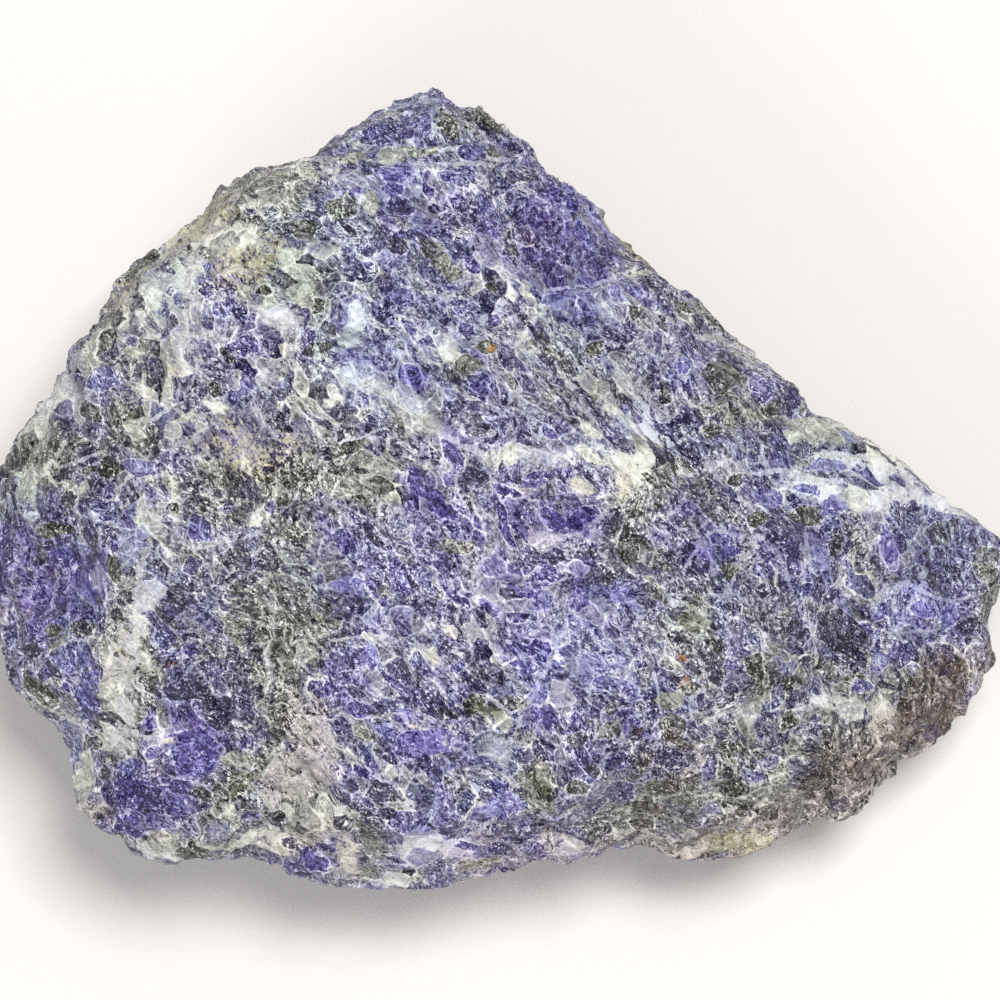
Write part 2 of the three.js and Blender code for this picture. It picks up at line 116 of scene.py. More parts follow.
# Patches of the upper side: u, v, half width and half height in mm, strength in hundredths, and turn in
# degrees where there is one.
PATCHES = {
    Zone.VIOLET: [
        (7, 45, 6, 8, 90), (-8.5, 48.5, 6, 5, 40), (-11, 1, 6, 6, 70), (7, -2.5, 11, 6, 80),
        (0, -17, 12, 12, 50), (-25.5, -7, 6, 5, 50), (-12, -37.5, 6, 11, 70), (-26.5, -33, 6, 6, 60),
        (-82.5, -13.5, 8, 8, 90), (-63, -51, 9, 7, 90, 20), (-53.5, -42.5, 8, 6, 60),
        (-71.5, -30.5, 6, 5, 30), (3.5, -61, 14, 7, 90), (10, -39, 9, 9, 50), (28, -43.5, 7, 7, 60),
        # The three patches of strength 160 on this line are partly the warm weathered lower right edge and
        # partly painted warm bounce light along that edge.
        (63, -46, 13, 7, 160, 40), (41, -59.5, 13, 6, 160, 20), (75.5, -34, 10, 6, 160, 50),
        (-32.5, -61, 10, 6, 50), (24, -61, 10, 5, 70), (32.5, -7.5, 5, 5, 40), (48.5, -8.5, 6, 5, 40),
        (-44, 24, 8, 5, 40), (-44, 8.5, 9, 6, 30),
    ],
    Zone.COLD: [
        (-32.5, 43.5, 14, 11, 100, 30), (-25.5, 26.5, 8, 10, 100), (-58, 36.5, 8, 7, 70),
        (-17, 20.5, 10, 7, 60, -30), (-81.5, 1.5, 7, 7, 80), (-62, -10, 5, 9, 60), (-36.5, -18.5, 6, 13, 60),
        (-17, 63, 14, 7, 60), (54.5, 5, 12, 7, 90, -20), (76.5, -8.5, 10, 7, 70, -40), (11, 29, 7, 6, 60),
        (20.5, 22, 8, 4, 40), (31.5, -21, 6, 5, 70), (-43.5, -49.5, 7, 6, 60, 40), (1.5, -41, 4, 8, 50, 30),
        (24, 10, 12, 6, 30), (49.5, -34, 8, 6, 30), (-10, 30.5, 8, 8, 30),
    ],
    Zone.DARK: [
        (-10, 66, 5, 1.5, 35), (-7, 64.5, 7, 2.5, 35, -10), (7, 53, 7, 4, 30), (7, 56, 5, 2, 30, -40),
        (-35, 47, 3.5, 2.5, 40), (-18, 49.5, 2.5, 2, 80), (-18, 51, 4, 3, 30), (-16, 44, 2.5, 2, 50),
        (-12, 47.5, 5, 4, 30), (-7, 48.5, 3, 6, 30), (7.5, 44, 10, 5.5, 45, -35), (-59.5, 36.5, 3, 3, 40),
        (-10, 43.5, 4, 4, 20), (-8, 37.5, 2, 5, 35), (17, 41, 6, 6, 35, -35), (20.5, 29, 4, 3.5, 30),
        (27, 35.5, 5, 3, 89, -40), (36.5, 34, 4.5, 2.5, 30, -40), (-58, 22, 3, 4, 30),
        (-27, 22.5, 3, 2.5, 35), (-13.5, 20.5, 2.5, 1.5, 70), (30.5, 20.5, 4, 4, 25),
        (36.5, 22, 3.5, 3.5, 50), (47.5, 20.5, 4, 3, 30, -40), (-48, 18.5, 2, 4, 35), (-46, 17, 2.5, 4, 40),
        (-17, 18, 4, 2, 30), (-8.5, 12, 5, 3, 25), (-4.5, 12, 3, 3, 30), (12, 15.5, 3, 3, 30),
        (13.5, 17, 4, 3, 30), (27, 18.5, 4, 4, 30), (47.5, 18, 5.5, 2, 40, -35), (-67, 6.5, 3.5, 2, 70),
        (-36, 5, 6, 4, 35), (32.5, 10, 4, 3, 56), (38, 10, 3, 3, 35), (48, 6, 4, 3, 119),
        (-82.5, 3.5, 3, 3, 50), (-51, 1.5, 4, 3, 30), (-34, 0, 5, 4, 35), (-30.5, -3.5, 4, 4, 77),
        (-11, 1, 4, 2.5, 80, -40), (3.5, -1.5, 3.5, 2.5, 40), (7, 3.5, 3, 6, 20), (17, 3.5, 5, 2, 35),
        (46, 3.5, 4, 2, 30), (-51, -5, 3, 4, 60), (-22, -8.5, 3.5, 5, 30), (-20.5, -7, 4, 3, 25),
        (7, -10, 4, 3, 20), (22, -7.5, 7, 5, 60), (34, -10, 5, 5, 30), (37.5, -10, 3.5, 7, 40, 10),
        (41, -10, 5, 4, 20), (44, -9, 5, 6, 45), (51, -7.5, 4, 3.5, 70), (57, -6, 3, 3.5, 60),
        (75.5, -10, 5, 4, 40), (-81.5, -15.5, 4, 5, 40), (-76.5, -12, 9.5, 9.5, 40), (-52.5, -17, 4, 4, 30),
        (-27, -17, 4, 6, 30), (13.5, -13, 5, 1.5, 40), (17, -12, 6, 4, 71), (21, -14.5, 4, 4, 30),
        (24.5, -15.5, 5, 4, 30), (33, -12, 6, 5, 35), (41, -17, 4, 4, 20), (45, -16, 5, 3, 30),
        (69.5, -15.5, 5, 3, 25), (-81.5, -24.5, 4, 3.5, 40), (-75, -20.5, 5, 4, 25),
        (-55.5, -22, 3.5, 2.5, 50), (-54, -27, 7, 7, 35), (-42.5, -25.5, 5, 7, 30),
        (59.5, -23.5, 5, 3.5, 100), (83.5, -24, 3, 5, 50), (-83.5, -30.5, 4, 3, 50), (-54.5, -34, 6, 4, 51),
        (-52.5, -33.5, 7, 4, 80, -40), (-51, -34, 6, 4, 40), (-27, -32, 4, 4, 30), (-25.5, -30.5, 4, 4, 35),
        (-10, -34, 6, 2.5, 60, -20), (2, -29, 3, 5, 30), (18.5, -29, 3, 3, 40), (24, -30.5, 4, 4, 30),
        (24, -34, 4, 4, 20), (32, -32, 5, 4, 45), (41.5, -29, 2.5, 3, 40), (63, -34, 3, 3, 30),
        (71.5, -35.5, 7.5, 4, 50, 30), (75, -29, 4, 2.5, 70), (-52.5, -36.5, 6, 4, 40),
        (-52.5, -43.5, 6, 3.5, 30), (-42.5, -42.5, 4, 4, 25), (20.5, -43.5, 3.5, 3, 60),
        (25.5, -37.5, 4, 5, 48), (25.5, -41, 4, 4, 30), (28, -41, 3.5, 3, 60), (55.5, -43.5, 4.5, 6, 50),
        (-62, -50, 7, 4, 80), (-57, -50, 9, 3.5, 50), (-53, -51, 5, 4, 40), (-41.5, -47.5, 4, 3, 30),
        (-24.5, -47, 4, 3, 30), (-22, -47.5, 3, 4, 30), (-8.5, -44, 5, 5, 20), (-8.5, -49.5, 3, 3, 30),
        (14.5, -45, 2, 2.5, 60), (23, -47.5, 4, 4, 25), (24, -47, 3, 6, 30), (26.5, -49.5, 4.5, 2.5, 60),
        (40, -47.5, 3.5, 2, 40), (59.5, -51, 4, 3, 30, 30), (-22.5, -57, 4, 3, 30), (32.5, -58, 4, 2, 60),
        (-33, -60.5, 3, 2, 50, -40), (-18.5, -63, 4, 2, 40), (-61.5, 30.5, 3, 3, 35),
        (-30.5, -5.5, 3, 2.5, 35), (7.5, -1.5, 3, 3, 35), (9.5, -21, 3, 3, 35), (-25.5, -31.5, 3, 3, 35),
        (39, 9.5, 3, 3, 30), (-81.5, 3.5, 3, 3, 30), (27, -17, 4, 4, 25), (-35.5, -58.5, 2.5, 2, 40),
        (13.5, 7, 3, 2.5, 25), (-25.5, 35.5, 2, 2.5, 30), (-25.5, 22.5, 2, 2.5, 25), (-31, -5, 3, 2.5, 30),
        (-26.5, -34, 4, 5, 20),
    ],
    Zone.PALE: [
        (-25.5, 63, 4, 2, 30), (-18.5, 66.5, 4, 2, 40), (-32.5, 52.5, 5, 3, 50), (-32.5, 58, 4, 3, 35),
        (-10, 58, 5.5, 1.5, 30), (-53.5, 44, 4, 3, 40), (-52.5, 46, 5, 3, 30), (-46, 44, 7, 3.5, 80, 20),
        (-46, 50, 7, 3, 35, 40), (-59.5, 42.5, 5, 3, 30, 45), (-56, 43.5, 4, 3, 30, 45),
        (-52.5, 36.5, 3, 4, 30), (-51, 39, 2, 4.5, 40, 75), (-34, 41, 5, 3, 72), (-29, 39, 3, 3, 30),
        # (-61, 34) is painted light: it lightens the upper left flank against the shade that falls on its
        # slope.
        (-22, 41, 5, 3, 46), (-3.5, 37.5, 2, 4, 30), (-61, 34, 8, 4, 60, 40), (-58, 32.5, 4, 5, 35),
        (-52.5, 34, 3, 4, 45), (-42.5, 35.5, 4, 4, 30), (-40, 31, 4, 3.5, 40), (-39, 29, 5, 6, 40),
        (-35.5, 34, 5, 5, 35), (-27, 30.5, 5, 4, 34), (-24.5, 30, 2, 3, 50), (0, 35.5, 3, 5, 55),
        (3.5, 32.5, 4, 4, 30), (15.5, 32.5, 3, 4, 30), (-71, 24, 4, 9, 40, -40), (-59.5, 26.5, 6, 7, 40, 40),
        (-54.5, 22, 4, 3, 35), (-52.5, 20.5, 3, 4, 35), (-12, 25.5, 4, 4, 47), (3.5, 27, 4, 5, 25),
        (5, 25.5, 3, 4, 25), (17, 20.5, 5, 4, 30), (22, 20.5, 2.5, 5, 30), (-81.5, 13, 5, 5, 60),
        (-78, 17, 5, 4, 40), (-75, 13.5, 6, 5, 51), (-59.5, 17, 5, 3, 35, 45), (-57, 20, 12, 10, 20),
        (-54.5, 12, 5, 3, 30), (-48.5, 16, 2.5, 1.5, 90), (-42.5, 19.5, 2.5, 5, 30), (-40.5, 18.5, 2, 4, 30),
        (-33, 19.5, 4, 3, 30), (-29, 17, 3, 3, 35), (24, 15, 5, 4.5, 46), (24, 12, 4, 3, 30),
        (58.5, 12, 6, 2.5, 90, -30), (-81.5, 5, 4, 5, 35), (-61, 8.5, 3, 5, 30), (-47, 6, 3, 5, 40, -40),
        (-45, 10, 4, 4, 30), (2.5, 7, 2.5, 2, 90), (24.5, 8.5, 2, 4, 35), (26, 10, 3.5, 3, 50),
        (41, 5, 3, 2.5, 35), (58, 5, 6, 3, 30), (66.5, 7, 5, 3, 124, -30), (68, 8.5, 5, 2, 40),
        (-76.5, 1.5, 5, 4, 57), (-63, -1.5, 3, 6, 30), (-61, -3.5, 3, 5, 30), (-41, -4, 2.5, 3, 70),
        (-18.5, 3.5, 5, 2, 30, -20), (-17, 1, 5, 2.5, 30), (13, 3, 2.5, 1.5, 90), (21, 4, 4, 3.5, 90),
        (47.5, 0, 5, 2, 30), (59.5, -1, 9, 2, 91, -10), (66, 3, 8, 1.5, 60, -30), (73, 0, 4, 1.5, 50, -20),
        (75, 0, 3, 2, 40), (76.5, -1.5, 4, 3, 62), (81.5, -3.5, 3, 2, 40, -35), (-59.5, -7, 3, 3, 40),
        (-44, -7, 3.5, 2.5, 40), (7, -7.5, 3, 3, 65), (-69.5, -14.5, 3, 3, 40), (-58.5, -17, 3, 4, 52),
        (59.5, -17, 4, 3, 30), (-60, -24, 3, 8, 75), (-12, -26.5, 3.5, 1.5, 90, -35), (-10, -20.5, 5, 3, 25),
        (-3.5, -21, 4, 5, 45), (9.5, -27, 2, 3.5, 40), (10, -24, 4, 5, 25), (17, -27, 9, 7, 15),
        (30.5, -25.5, 4, 3, 55), (-66.5, -30.5, 3, 6, 90), (-22, -29, 2.5, 3, 40), (11, -30.5, 4, 4, 40),
        (15.5, -35.5, 4, 3, 30), (41, -35.5, 5, 3, 43), (58.5, -34, 6, 2, 80), (66.5, -36, 3, 4, 80),
        (66.5, -32.5, 4, 4, 35), (-73, -41, 3, 5, 40), (-68, -41, 3, 5, 35), (-61, -41, 4, 4, 40),
        (-32, -41, 4, 8, 20, 25), (-27, -39, 3.5, 3.5, 45), (-12, -41, 2, 5, 25), (-1.5, -42, 2.5, 3, 40),
        (-69.5, -47.5, 3, 4, 40), (-44, -47.5, 3.5, 1.5, 50), (-37, -48, 5.5, 4, 30),
        (-32.5, -46, 4, 6, 45, 20), (-24, -47.5, 2.5, 4, 25), (-15.5, -47.5, 3, 4, 25),
        (47.5, -49.5, 3, 4, 35), (-57, -59, 3.5, 1.5, 80), (-42.5, -56, 4, 4, 40), (-42, -59, 6, 2.5, 30),
        (-38, -57, 4, 4, 40), (-35.5, -59.5, 4, 4, 40), (-30, -54.5, 4, 3, 68), (-12, -58, 6, 3, 55),
        (-10, -59.5, 8, 2.5, 57), (12, -59.5, 5, 2.5, 69), (32.5, -59.5, 4, 3, 82),
        (42.5, -58.5, 10.5, 2.5, 30), (-59.5, -61, 4, 2, 40), (-27, -61, 3, 1.5, 70, -70),
        (-17, -65.5, 6, 2, 60), (-15.5, -62.5, 7, 3, 40), (24, -61, 8, 2, 40), (-28.5, 15, 2.5, 2.5, 40),
        (-20.5, 39, 3, 3, 30), (-25.5, 35.5, 3, 3, 25), (-17, 1, 4, 2, 30), (-66.5, -37.5, 4, 4, 35),
        (59.5, -13.5, 3, 3, 30), (-56, -17, 2, 3, 30), (24, 37.5, 3, 2, 35, -40), (-69, -51, 2, 3, 40),
        (27, 10, 2.5, 4, 25), (-28, 15, 2.5, 2.5, 30), (-25.5, 30.5, 3, 3, 30), (12, 0, 3, 2, 30),
        (59.5, -13.5, 4, 3, 25), (-46, -56, 5, 3, 30), (-29, -62, 4, 2, 40), (-13.5, -61, 4, 3, 25),
        (-28.5, 16, 2.5, 2.5, 30), (-41, -7, 3.5, 4, 25), (-24, 56, 4, 2, 35), (-42.5, 42.5, 2.5, 2.5, 30),
        (-2.5, 34, 3, 4, 20), (-12, 24.5, 3, 3, 25), (32.5, -51, 4, 3, 25), (-3.5, -59.5, 2, 5, 30),
    ],
    Zone.GREY: [
        (-3.5, 64.5, 5.5, 2.5, 70), (-30.5, 54.5, 6, 3, 40, 30), (-44, 48.5, 16, 7.5, 100, 40),
        (-24, 47.5, 4, 3, 40), (-39, 40, 7, 7, 90), (-31.5, 39, 4.5, 10, 75), (-22, 36.5, 4, 4, 25),
        (27, 37.5, 5, 2.5, 40, -40), (-59.5, 29, 8.5, 10.5, 50, 40), (-3, 35.5, 3, 3, 35),
        (32.5, 30, 3, 4, 30), (38, 28, 7, 4, 50, -35), (-68, 26, 6, 8, 70, -40), (-57, 22, 14, 12, 25),
        (-37.5, 25.5, 4, 5, 35), (-34, 21, 3, 6, 30), (-10, 22, 3, 3, 35), (1.5, 22, 2, 5, 30),
        (10, 25.5, 5, 2.5, 60, -50), (15.5, 27, 3, 4, 25), (37.5, 22, 3.5, 3.5, 50), (-63, 13.5, 4, 4, 35),
        (-61, 17, 6, 7, 40), (-36.5, 17.5, 8, 3, 40), (-29, 17, 4, 3, 57), (-17, 16.5, 9, 3.5, 50, -25),
        (10.5, 17, 3, 4, 35), (19, 18.5, 5, 4, 50), (34, 15.5, 3, 4, 30), (41, 16, 6, 4, 60),
        (42.5, 13, 6, 3, 65), (-84, 10, 4, 5, 80), (-78, 7.5, 7, 5, 80), (-75, 10, 10, 10, 50, 45),
        (-64.5, 10, 5, 4, 50), (-63, 6, 6, 6, 35), (-47.5, 6.5, 5, 3, 35), (-42.5, 10, 15.5, 7.5, 55),
        (-20.5, 10, 10.5, 6, 55), (-4, 7, 3, 3, 30), (56, 5, 3, 7, 45), (61, 10, 9, 3, 112, -30),
        (-83, 0, 4, 6, 35), (-51, 0, 9, 5, 50), (-46, 2.5, 8, 6, 50), (-45, -3.5, 8, 3, 75),
        (-29, 3, 6, 3, 30), (-25.5, 3.5, 5, 3, 35), (-24, 2, 6, 4, 90), (-24, -3.5, 4, 4, 30),
        (-22, -1.5, 5, 3, 25), (-20.5, 1.5, 5, 4, 35), (-18.5, 3.5, 5, 3, 30), (-16, 3.5, 3, 4, 35),
        (-5, 4, 4, 4, 30), (21, 3.5, 2, 4, 60), (22, -3.5, 4, 4, 40), (24, 4, 7, 5.5, 80),
        (32.5, -3.5, 4, 3, 30), (-59.5, -10, 3, 4, 30), (-51, -7, 3, 5, 35), (23, -7, 5.5, 6, 60),
        (25.5, -10, 5, 6, 60), (34, -11, 11, 6, 30), (35.5, -5, 4, 4, 25), (63, -10, 4, 4, 30),
        (-28, -17, 3, 8, 40), (32.5, -15.5, 5, 4, 30), (44, -17, 5, 5, 60), (61, -13.5, 4, 3, 25),
        (63, -13.5, 3, 5, 30), (83.5, -15.5, 2, 6, 69), (-75, -25.5, 3, 3, 35), (-68, -27, 4, 4, 35),
        (-63, -25.5, 5.5, 12.5, 100, 10), (-46, -25, 8, 14, 45), (-42.5, -21, 5, 7, 80),
        (-29, -20.5, 4, 6, 35), (-29, -24, 3, 4, 30), (-10, -27, 4, 3, 20), (-3.5, -25.5, 4, 5, 35),
        (29, -20.5, 6, 5, 30), (32.5, -24, 4.5, 8, 90), (53.5, -27, 4, 2.5, 30), (-78, -32.5, 4, 3, 40),
        (-62, -29, 3.5, 4, 35), (-44, -34, 3, 7, 40), (-3.5, -35, 3.5, 2.5, 100), (-3.5, -30, 4, 4, 25),
        (13.5, -29, 3, 4, 40), (43, -31, 8, 5, 60), (46, -29, 5, 6, 35), (47.5, -30.5, 6, 4, 40),
        (51, -28, 6, 4, 30), (54.5, -29, 6, 4, 35), (76.5, -29, 6, 4.5, 60), (76.5, -34, 4, 6, 50),
        (-78, -38, 4, 4, 50, 40), (-66.5, -39, 4, 7, 97), (-61, -40, 4, 5, 30), (-39, -41, 3, 6, 40),
        (-29, -39, 3, 4, 30), (-25.5, -41, 4, 4, 35), (-22, -41, 4, 3, 40), (7, -41, 4, 3, 30),
        (69, -38, 14.5, 12, 95), (-69.5, -51, 3, 4, 90), (-47.5, -47.5, 5, 3, 35), (-44, -45, 7, 4, 50),
        (-42.5, -52, 10.5, 6.5, 60), (-40, -44, 6, 3, 50), (-18.5, -49.5, 3, 4, 35), (-5, -49.5, 3, 4, 30),
        (3.5, -47.5, 6, 5, 35), (7, -48.5, 3.5, 4, 126), (8.5, -47, 4, 3, 30), (34, -49.5, 8, 4, 25),
        (46, -47.5, 28, 13, 75), (47.5, -51, 5, 4, 30), (60, -48, 10, 5, 124, 35), (61, -47.5, 8, 5, 50),
        (63, -47, 5, 4, 60, 30), (65.5, -47.5, 6, 4, 60, 40), (68, -46, 7, 5, 60, 35),
        (-54.5, -55.5, 3, 3, 40), (-47.5, -59.5, 14, 4, 90), (-36.5, -52.5, 4, 3, 40),
        (-35.5, -58, 4, 3, 35), (-34, -53.5, 4, 5, 51), (-32, -54, 4, 3, 60), (-24.5, -58.5, 6, 6.5, 70),
        (25.5, -56, 14.5, 7, 85), (34, -59.5, 6, 2.5, 40), (42.5, -59.5, 8, 3, 127), (46, -54.5, 8, 4, 40),
        (-15.5, -65.5, 4, 2, 80), (37.5, -61, 8, 2, 94), (64.5, -48.5, 6, 3, 50, 40),
        (47.5, -54.5, 8, 3, 40, 20), (34, -61, 7, 2, 40), (-77.5, -38, 3, 4, 40, 40), (-44, -7, 3, 3, 35),
        (76.5, -37.5, 5, 3, 40, 50), (-54.5, 43.5, 4, 3, 40, 40), (-64.5, -3.5, 4, 12, 35, 50),
        (-54.5, -15.5, 4, 5, 25), (-11, 21, 4, 4, 30), (-13.5, -50, 4, 5, 30), (-25.5, -49.5, 3, 4, 25),
        (56, 5, 5, 3, 30), (27, 37.5, 6, 2.5, 30, -40), (11, 14.5, 3, 4, 25), (61, -27, 5, 4, 25),
        (46, -10, 5, 5, 25), (-22, 49.5, 5, 5, 25), (7, 39, 4, 3, 20), (-28, 25, 4, 3, 30),
        (-18.5, -3.5, 4, 7, 25), (17, -25.5, 3, 3, 30), (68, -15.5, 3, 4, 30), (81.5, -17, 3, 6, 30),
        (0, -51, 5, 2.5, 30), (-52.5, -18, 3, 3, 25), (10, 39, 4, 4, 20), (-7, 22, 4, 4, 20),
        (64.5, -44, 4, 2.5, 35, 30),
    ],
    Zone.VIVID: [
        (-15.5, 65, 3.5, 2, 50, 20), (-27, 52.5, 5, 3, 40), (-25, 54.5, 5, 4, 50), (-18.5, 55.5, 3, 7, 65),
        (-17, 58, 3.5, 7, 35), (-39, 44, 4, 4, 30), (-35.5, 44, 6, 5, 50), (-32.5, 44, 4, 4, 70),
        (-17, 51, 4, 4, 40), (-12, 46, 3, 4, 35), (-3, 44, 3, 4, 45), (13, 44, 10.5, 6.5, 50, -35),
        (15, 51, 6, 5, 83), (17, 49.5, 4, 4, 40), (18, 48.5, 5, 3, 40, -50), (-51, 39, 4, 4, 30),
        (-47.5, 41, 3, 3, 30), (10, 39, 6, 4, 30), (-54.5, 29, 4, 4, 30), (-49, 29, 3, 4, 35),
        (-47.5, 30.5, 3, 3, 35), (-26.5, 29, 4, 3, 25), (-13.5, 29, 3, 4, 25), (-6, 30, 4, 4, 35),
        (3.5, 35.5, 3, 3, 35), (7, 35.5, 3, 4, 35), (10, 35.5, 6, 4, 59), (15, 34, 6, 4, 50),
        (-66.5, 27, 4, 4, 61), (-24, 27, 7, 5.5, 30), (-6.5, 27, 3, 4, 30), (-5, 25.5, 4, 4, 25),
        (35, 22, 5, 3, 30), (35.5, 27, 4, 4, 35), (-71.5, 17, 5, 5, 61), (-59.5, 13.5, 3, 3, 35),
        (-44, 13.5, 5, 4, 50), (-20, 17, 6, 4, 40), (-20, 20, 7, 3, 45), (-19.5, 18.5, 7, 3, 60, -30),
        (-17, 18.5, 5, 3, 35), (-13, 17, 5, 4, 61, -45), (24, 12, 4, 4, 69), (-48, 10, 7, 4, 45, -50),
        (-8.5, 10, 4, 3, 35), (8.5, 11, 4, 3, 30), (8.5, 10, 3, 4, 30), (15.5, 8.5, 3, 3, 30),
        (25.5, 10, 4, 4, 40), (47.5, 7, 3, 3, 30), (61, 7, 5, 4, 60), (-66, -1.5, 3, 4, 30),
        (-35.5, -2.5, 3, 3, 35), (-12, 1.5, 7, 3.5, 80, -40), (11, -2.5, 5.5, 2.5, 90),
        (-84, -9.5, 4, 6, 57), (-84, -7, 3, 5, 35), (-64.5, -9.5, 3, 5, 40, -45), (-64.5, -7, 3, 4, 35),
        (-25, -10, 5.5, 5.5, 40), (24, -10, 3, 4, 65), (36.5, -8, 5.5, 3.5, 60), (49.5, -10, 5.5, 4.5, 40),
        (71.5, -7, 4, 3, 25), (73, -5, 4, 3, 30), (-83.5, -15.5, 4, 5, 40), (-75, -15.5, 6.5, 7, 80),
        (-68.5, -13.5, 3, 3, 30), (-59.5, -17, 3, 4, 107), (-27, -17, 2.5, 4, 30), (-1.5, -15.5, 4, 3, 61),
        (0, -13.5, 4, 4, 50), (12, -15.5, 5, 4, 30), (19, -15.5, 5.5, 2.5, 60), (19.5, -17, 4, 5, 35),
        (22, -12, 3, 5, 35), (34, -18.5, 4, 3, 25), (72, -18, 8.5, 7, 50), (-66.5, -24, 3, 3, 35),
        (-51, -22, 4, 5, 40), (-47.5, -20.5, 4, 5, 30), (-47, -23, 4, 4, 50, 45), (-43.5, -24, 4, 3, 30),
        (8, -24, 13, 8.5, 80), (10, -22, 3, 4, 25), (-58, -35.5, 3, 3, 40), (-27, -30.5, 5.5, 3.5, 40),
        (5, -36, 4, 3, 177), (19.5, -29, 3, 3, 30), (22, -31.5, 3, 3, 30), (47.5, -28, 2.5, 5, 72),
        (61, -35.5, 4, 3, 64), (-59.5, -41, 4, 3, 30), (-54.5, -40, 3, 4, 30), (-52.5, -41.5, 5.5, 4, 100),
        (-13.5, -41.5, 6, 3, 70), (-6, -39, 2.5, 5, 25), (-59.5, -49.5, 7.5, 4, 70),
        (-54.5, -49.5, 3, 3, 30), (-32, -44, 2.5, 3, 40), (-6, -46, 2.5, 4, 30), (15.5, -48.5, 3, 3, 35),
        (20.5, -49.5, 4, 3, 35), (-9.5, -52.5, 10.5, 7, 40), (30.5, -56, 6, 3, 57),
        (-31.5, -61, 3, 2, 60, -40), (-54.5, 25.5, 4, 5, 35), (-43.5, 12, 3, 5, 40), (-59.5, 13, 3, 3, 30),
        (17, 48.5, 4, 3, 30, -50), (-13.5, 52.5, 4, 6, 30), (-3.5, 44, 3, 4, 25), (10, -5, 3, 3, 30),
        (-61, -15.5, 3, 3, 30), (-56, 27, 6, 8, 35), (-41, 3.5, 3, 5, 35, -30), (25.5, 7, 3, 4, 40),
        (36.5, 22, 4, 4, 25), (-41.5, -16, 4, 4, 30), (47, -29, 2.5, 4, 30), (60.5, -34, 6, 2.5, 30),
        (35, -47.5, 4, 8, 25), (-47.5, -60.5, 8, 3, 35), (-34, -45, 2.5, 3, 30), (-57, 14.5, 6, 3, 40),
        (24.5, 6, 3, 3, 30), (24, -8.5, 3, 4, 30), (-38, -2.5, 2.5, 3, 30), (-64, 30.5, 3, 4, 30),
        (-43.5, -58.5, 6, 3, 30),
    ],
    Zone.CALCITE: [
        (2.5, 7, 2, 2, 60), (-60, -3.5, 2.5, 3, 90), (60.5, -0.5, 3, 1.5, 90, -10),
        (-61, -18, 3.5, 2.2, 90, 30), (-12, -26.5, 3, 1, 70, -35), (-63.5, -28, 3.4, 7, 85, -10),
        (-65, -39, 3, 5, 65), (-58, -59, 3.5, 1.5, 80),
    ],
    Zone.CREAM: [
        (-52.5, 45, 6, 2.5, 40, 40), (-51, 48.5, 7, 2.5, 60, 40), (-43.5, 40, 8, 4.5, 60, 30),
        (-64.5, 35.5, 3.5, 7, 60, -40), (-51, 29, 7, 8, 22), (-59.5, 17, 9, 11, 22), (-44, 10, 10.5, 6, 30),
        (-44, 8.5, 8, 5, 20), (21, 3.5, 2, 3.5, 50), (-64.5, -27, 3, 6, 35, -10), (-34, -51, 4, 3, 25),
        (42.5, -59.5, 8, 3, 70), (41, -60.5, 7, 2.5, 45),
    ],
    Zone.OLIVE: [
        (-40, 40, 2.5, 3, 50), (7, 29, 7, 1.5, 20, -45), (-75, -22.5, 1.5, 1.5, 60),
        (-36.5, -20.5, 2.5, 10, 25), (32.5, -20.5, 2.5, 2, 80), (-3.5, -35, 2.5, 1.5, 90),
        (-45, -47, 4.5, 2.5, 60), (7, -48, 2.5, 3, 90),
    ],
    Zone.BROWN: [
        (83.5, -26.5, 2.5, 3.5, 50), (76.5, -29, 5, 4, 55), (72, -37.5, 8, 5, 62, 30),
        (55.5, -44, 4.5, 5, 35), (24, -53.5, 6, 2.5, 25), (62, -46, 5, 3.5, 60, 40), (51, -52, 6, 3, 45, 20),
        (78, -36.5, 5, 2.5, 45, 50), (34, -59.5, 7, 2, 30),
    ],
    Zone.FELDSPAR: [
        (-32, -41, 4.5, 10, 90, 25), (-37, -48, 6, 5, 70),
    ],
    Zone.RUST: [
        (7.7, 35.7, 0.8, 0.8, 80), (-1.4, 25.5, 1, 0.8, 80), (-70.9, -21.6, 0.7, 0.7, 90),
        (29.8, -26.5, 1.2, 0.6, 100), (-56.1, -29.2, 0.7, 0.7, 90), (31.3, -30.3, 0.9, 0.7, 100),
        (23.8, -38.6, 0.7, 0.7, 100),
    ],
    Zone.FIBRE: [
        (-59.5, 34, 7, 3, 50, 45), (-63, 27, 6, 12, 40, -30), (15.5, 17, 24, 10, 100, -52),
        (32.5, 5, 10, 8, 50), (-44, -18.5, 8, 9, 30), (-12, -25.5, 14, 14, 40),
        (-7, -25.5, 18.5, 15.5, 50, -52), (-32, -42, 6, 11, 80, 25), (-31.5, -41.5, 5, 9, 60),
        (-27, -37.5, 8, 10, 35),
    ],
    Zone.COMBED: [
        (-55, 42, 20, 5, 100, 43), (-62, 28, 14, 7, 80, 50), (-75, 15, 8, 8, 70, 50),
        (-45, 6, 12, 6, 50, 30),
    ],
}
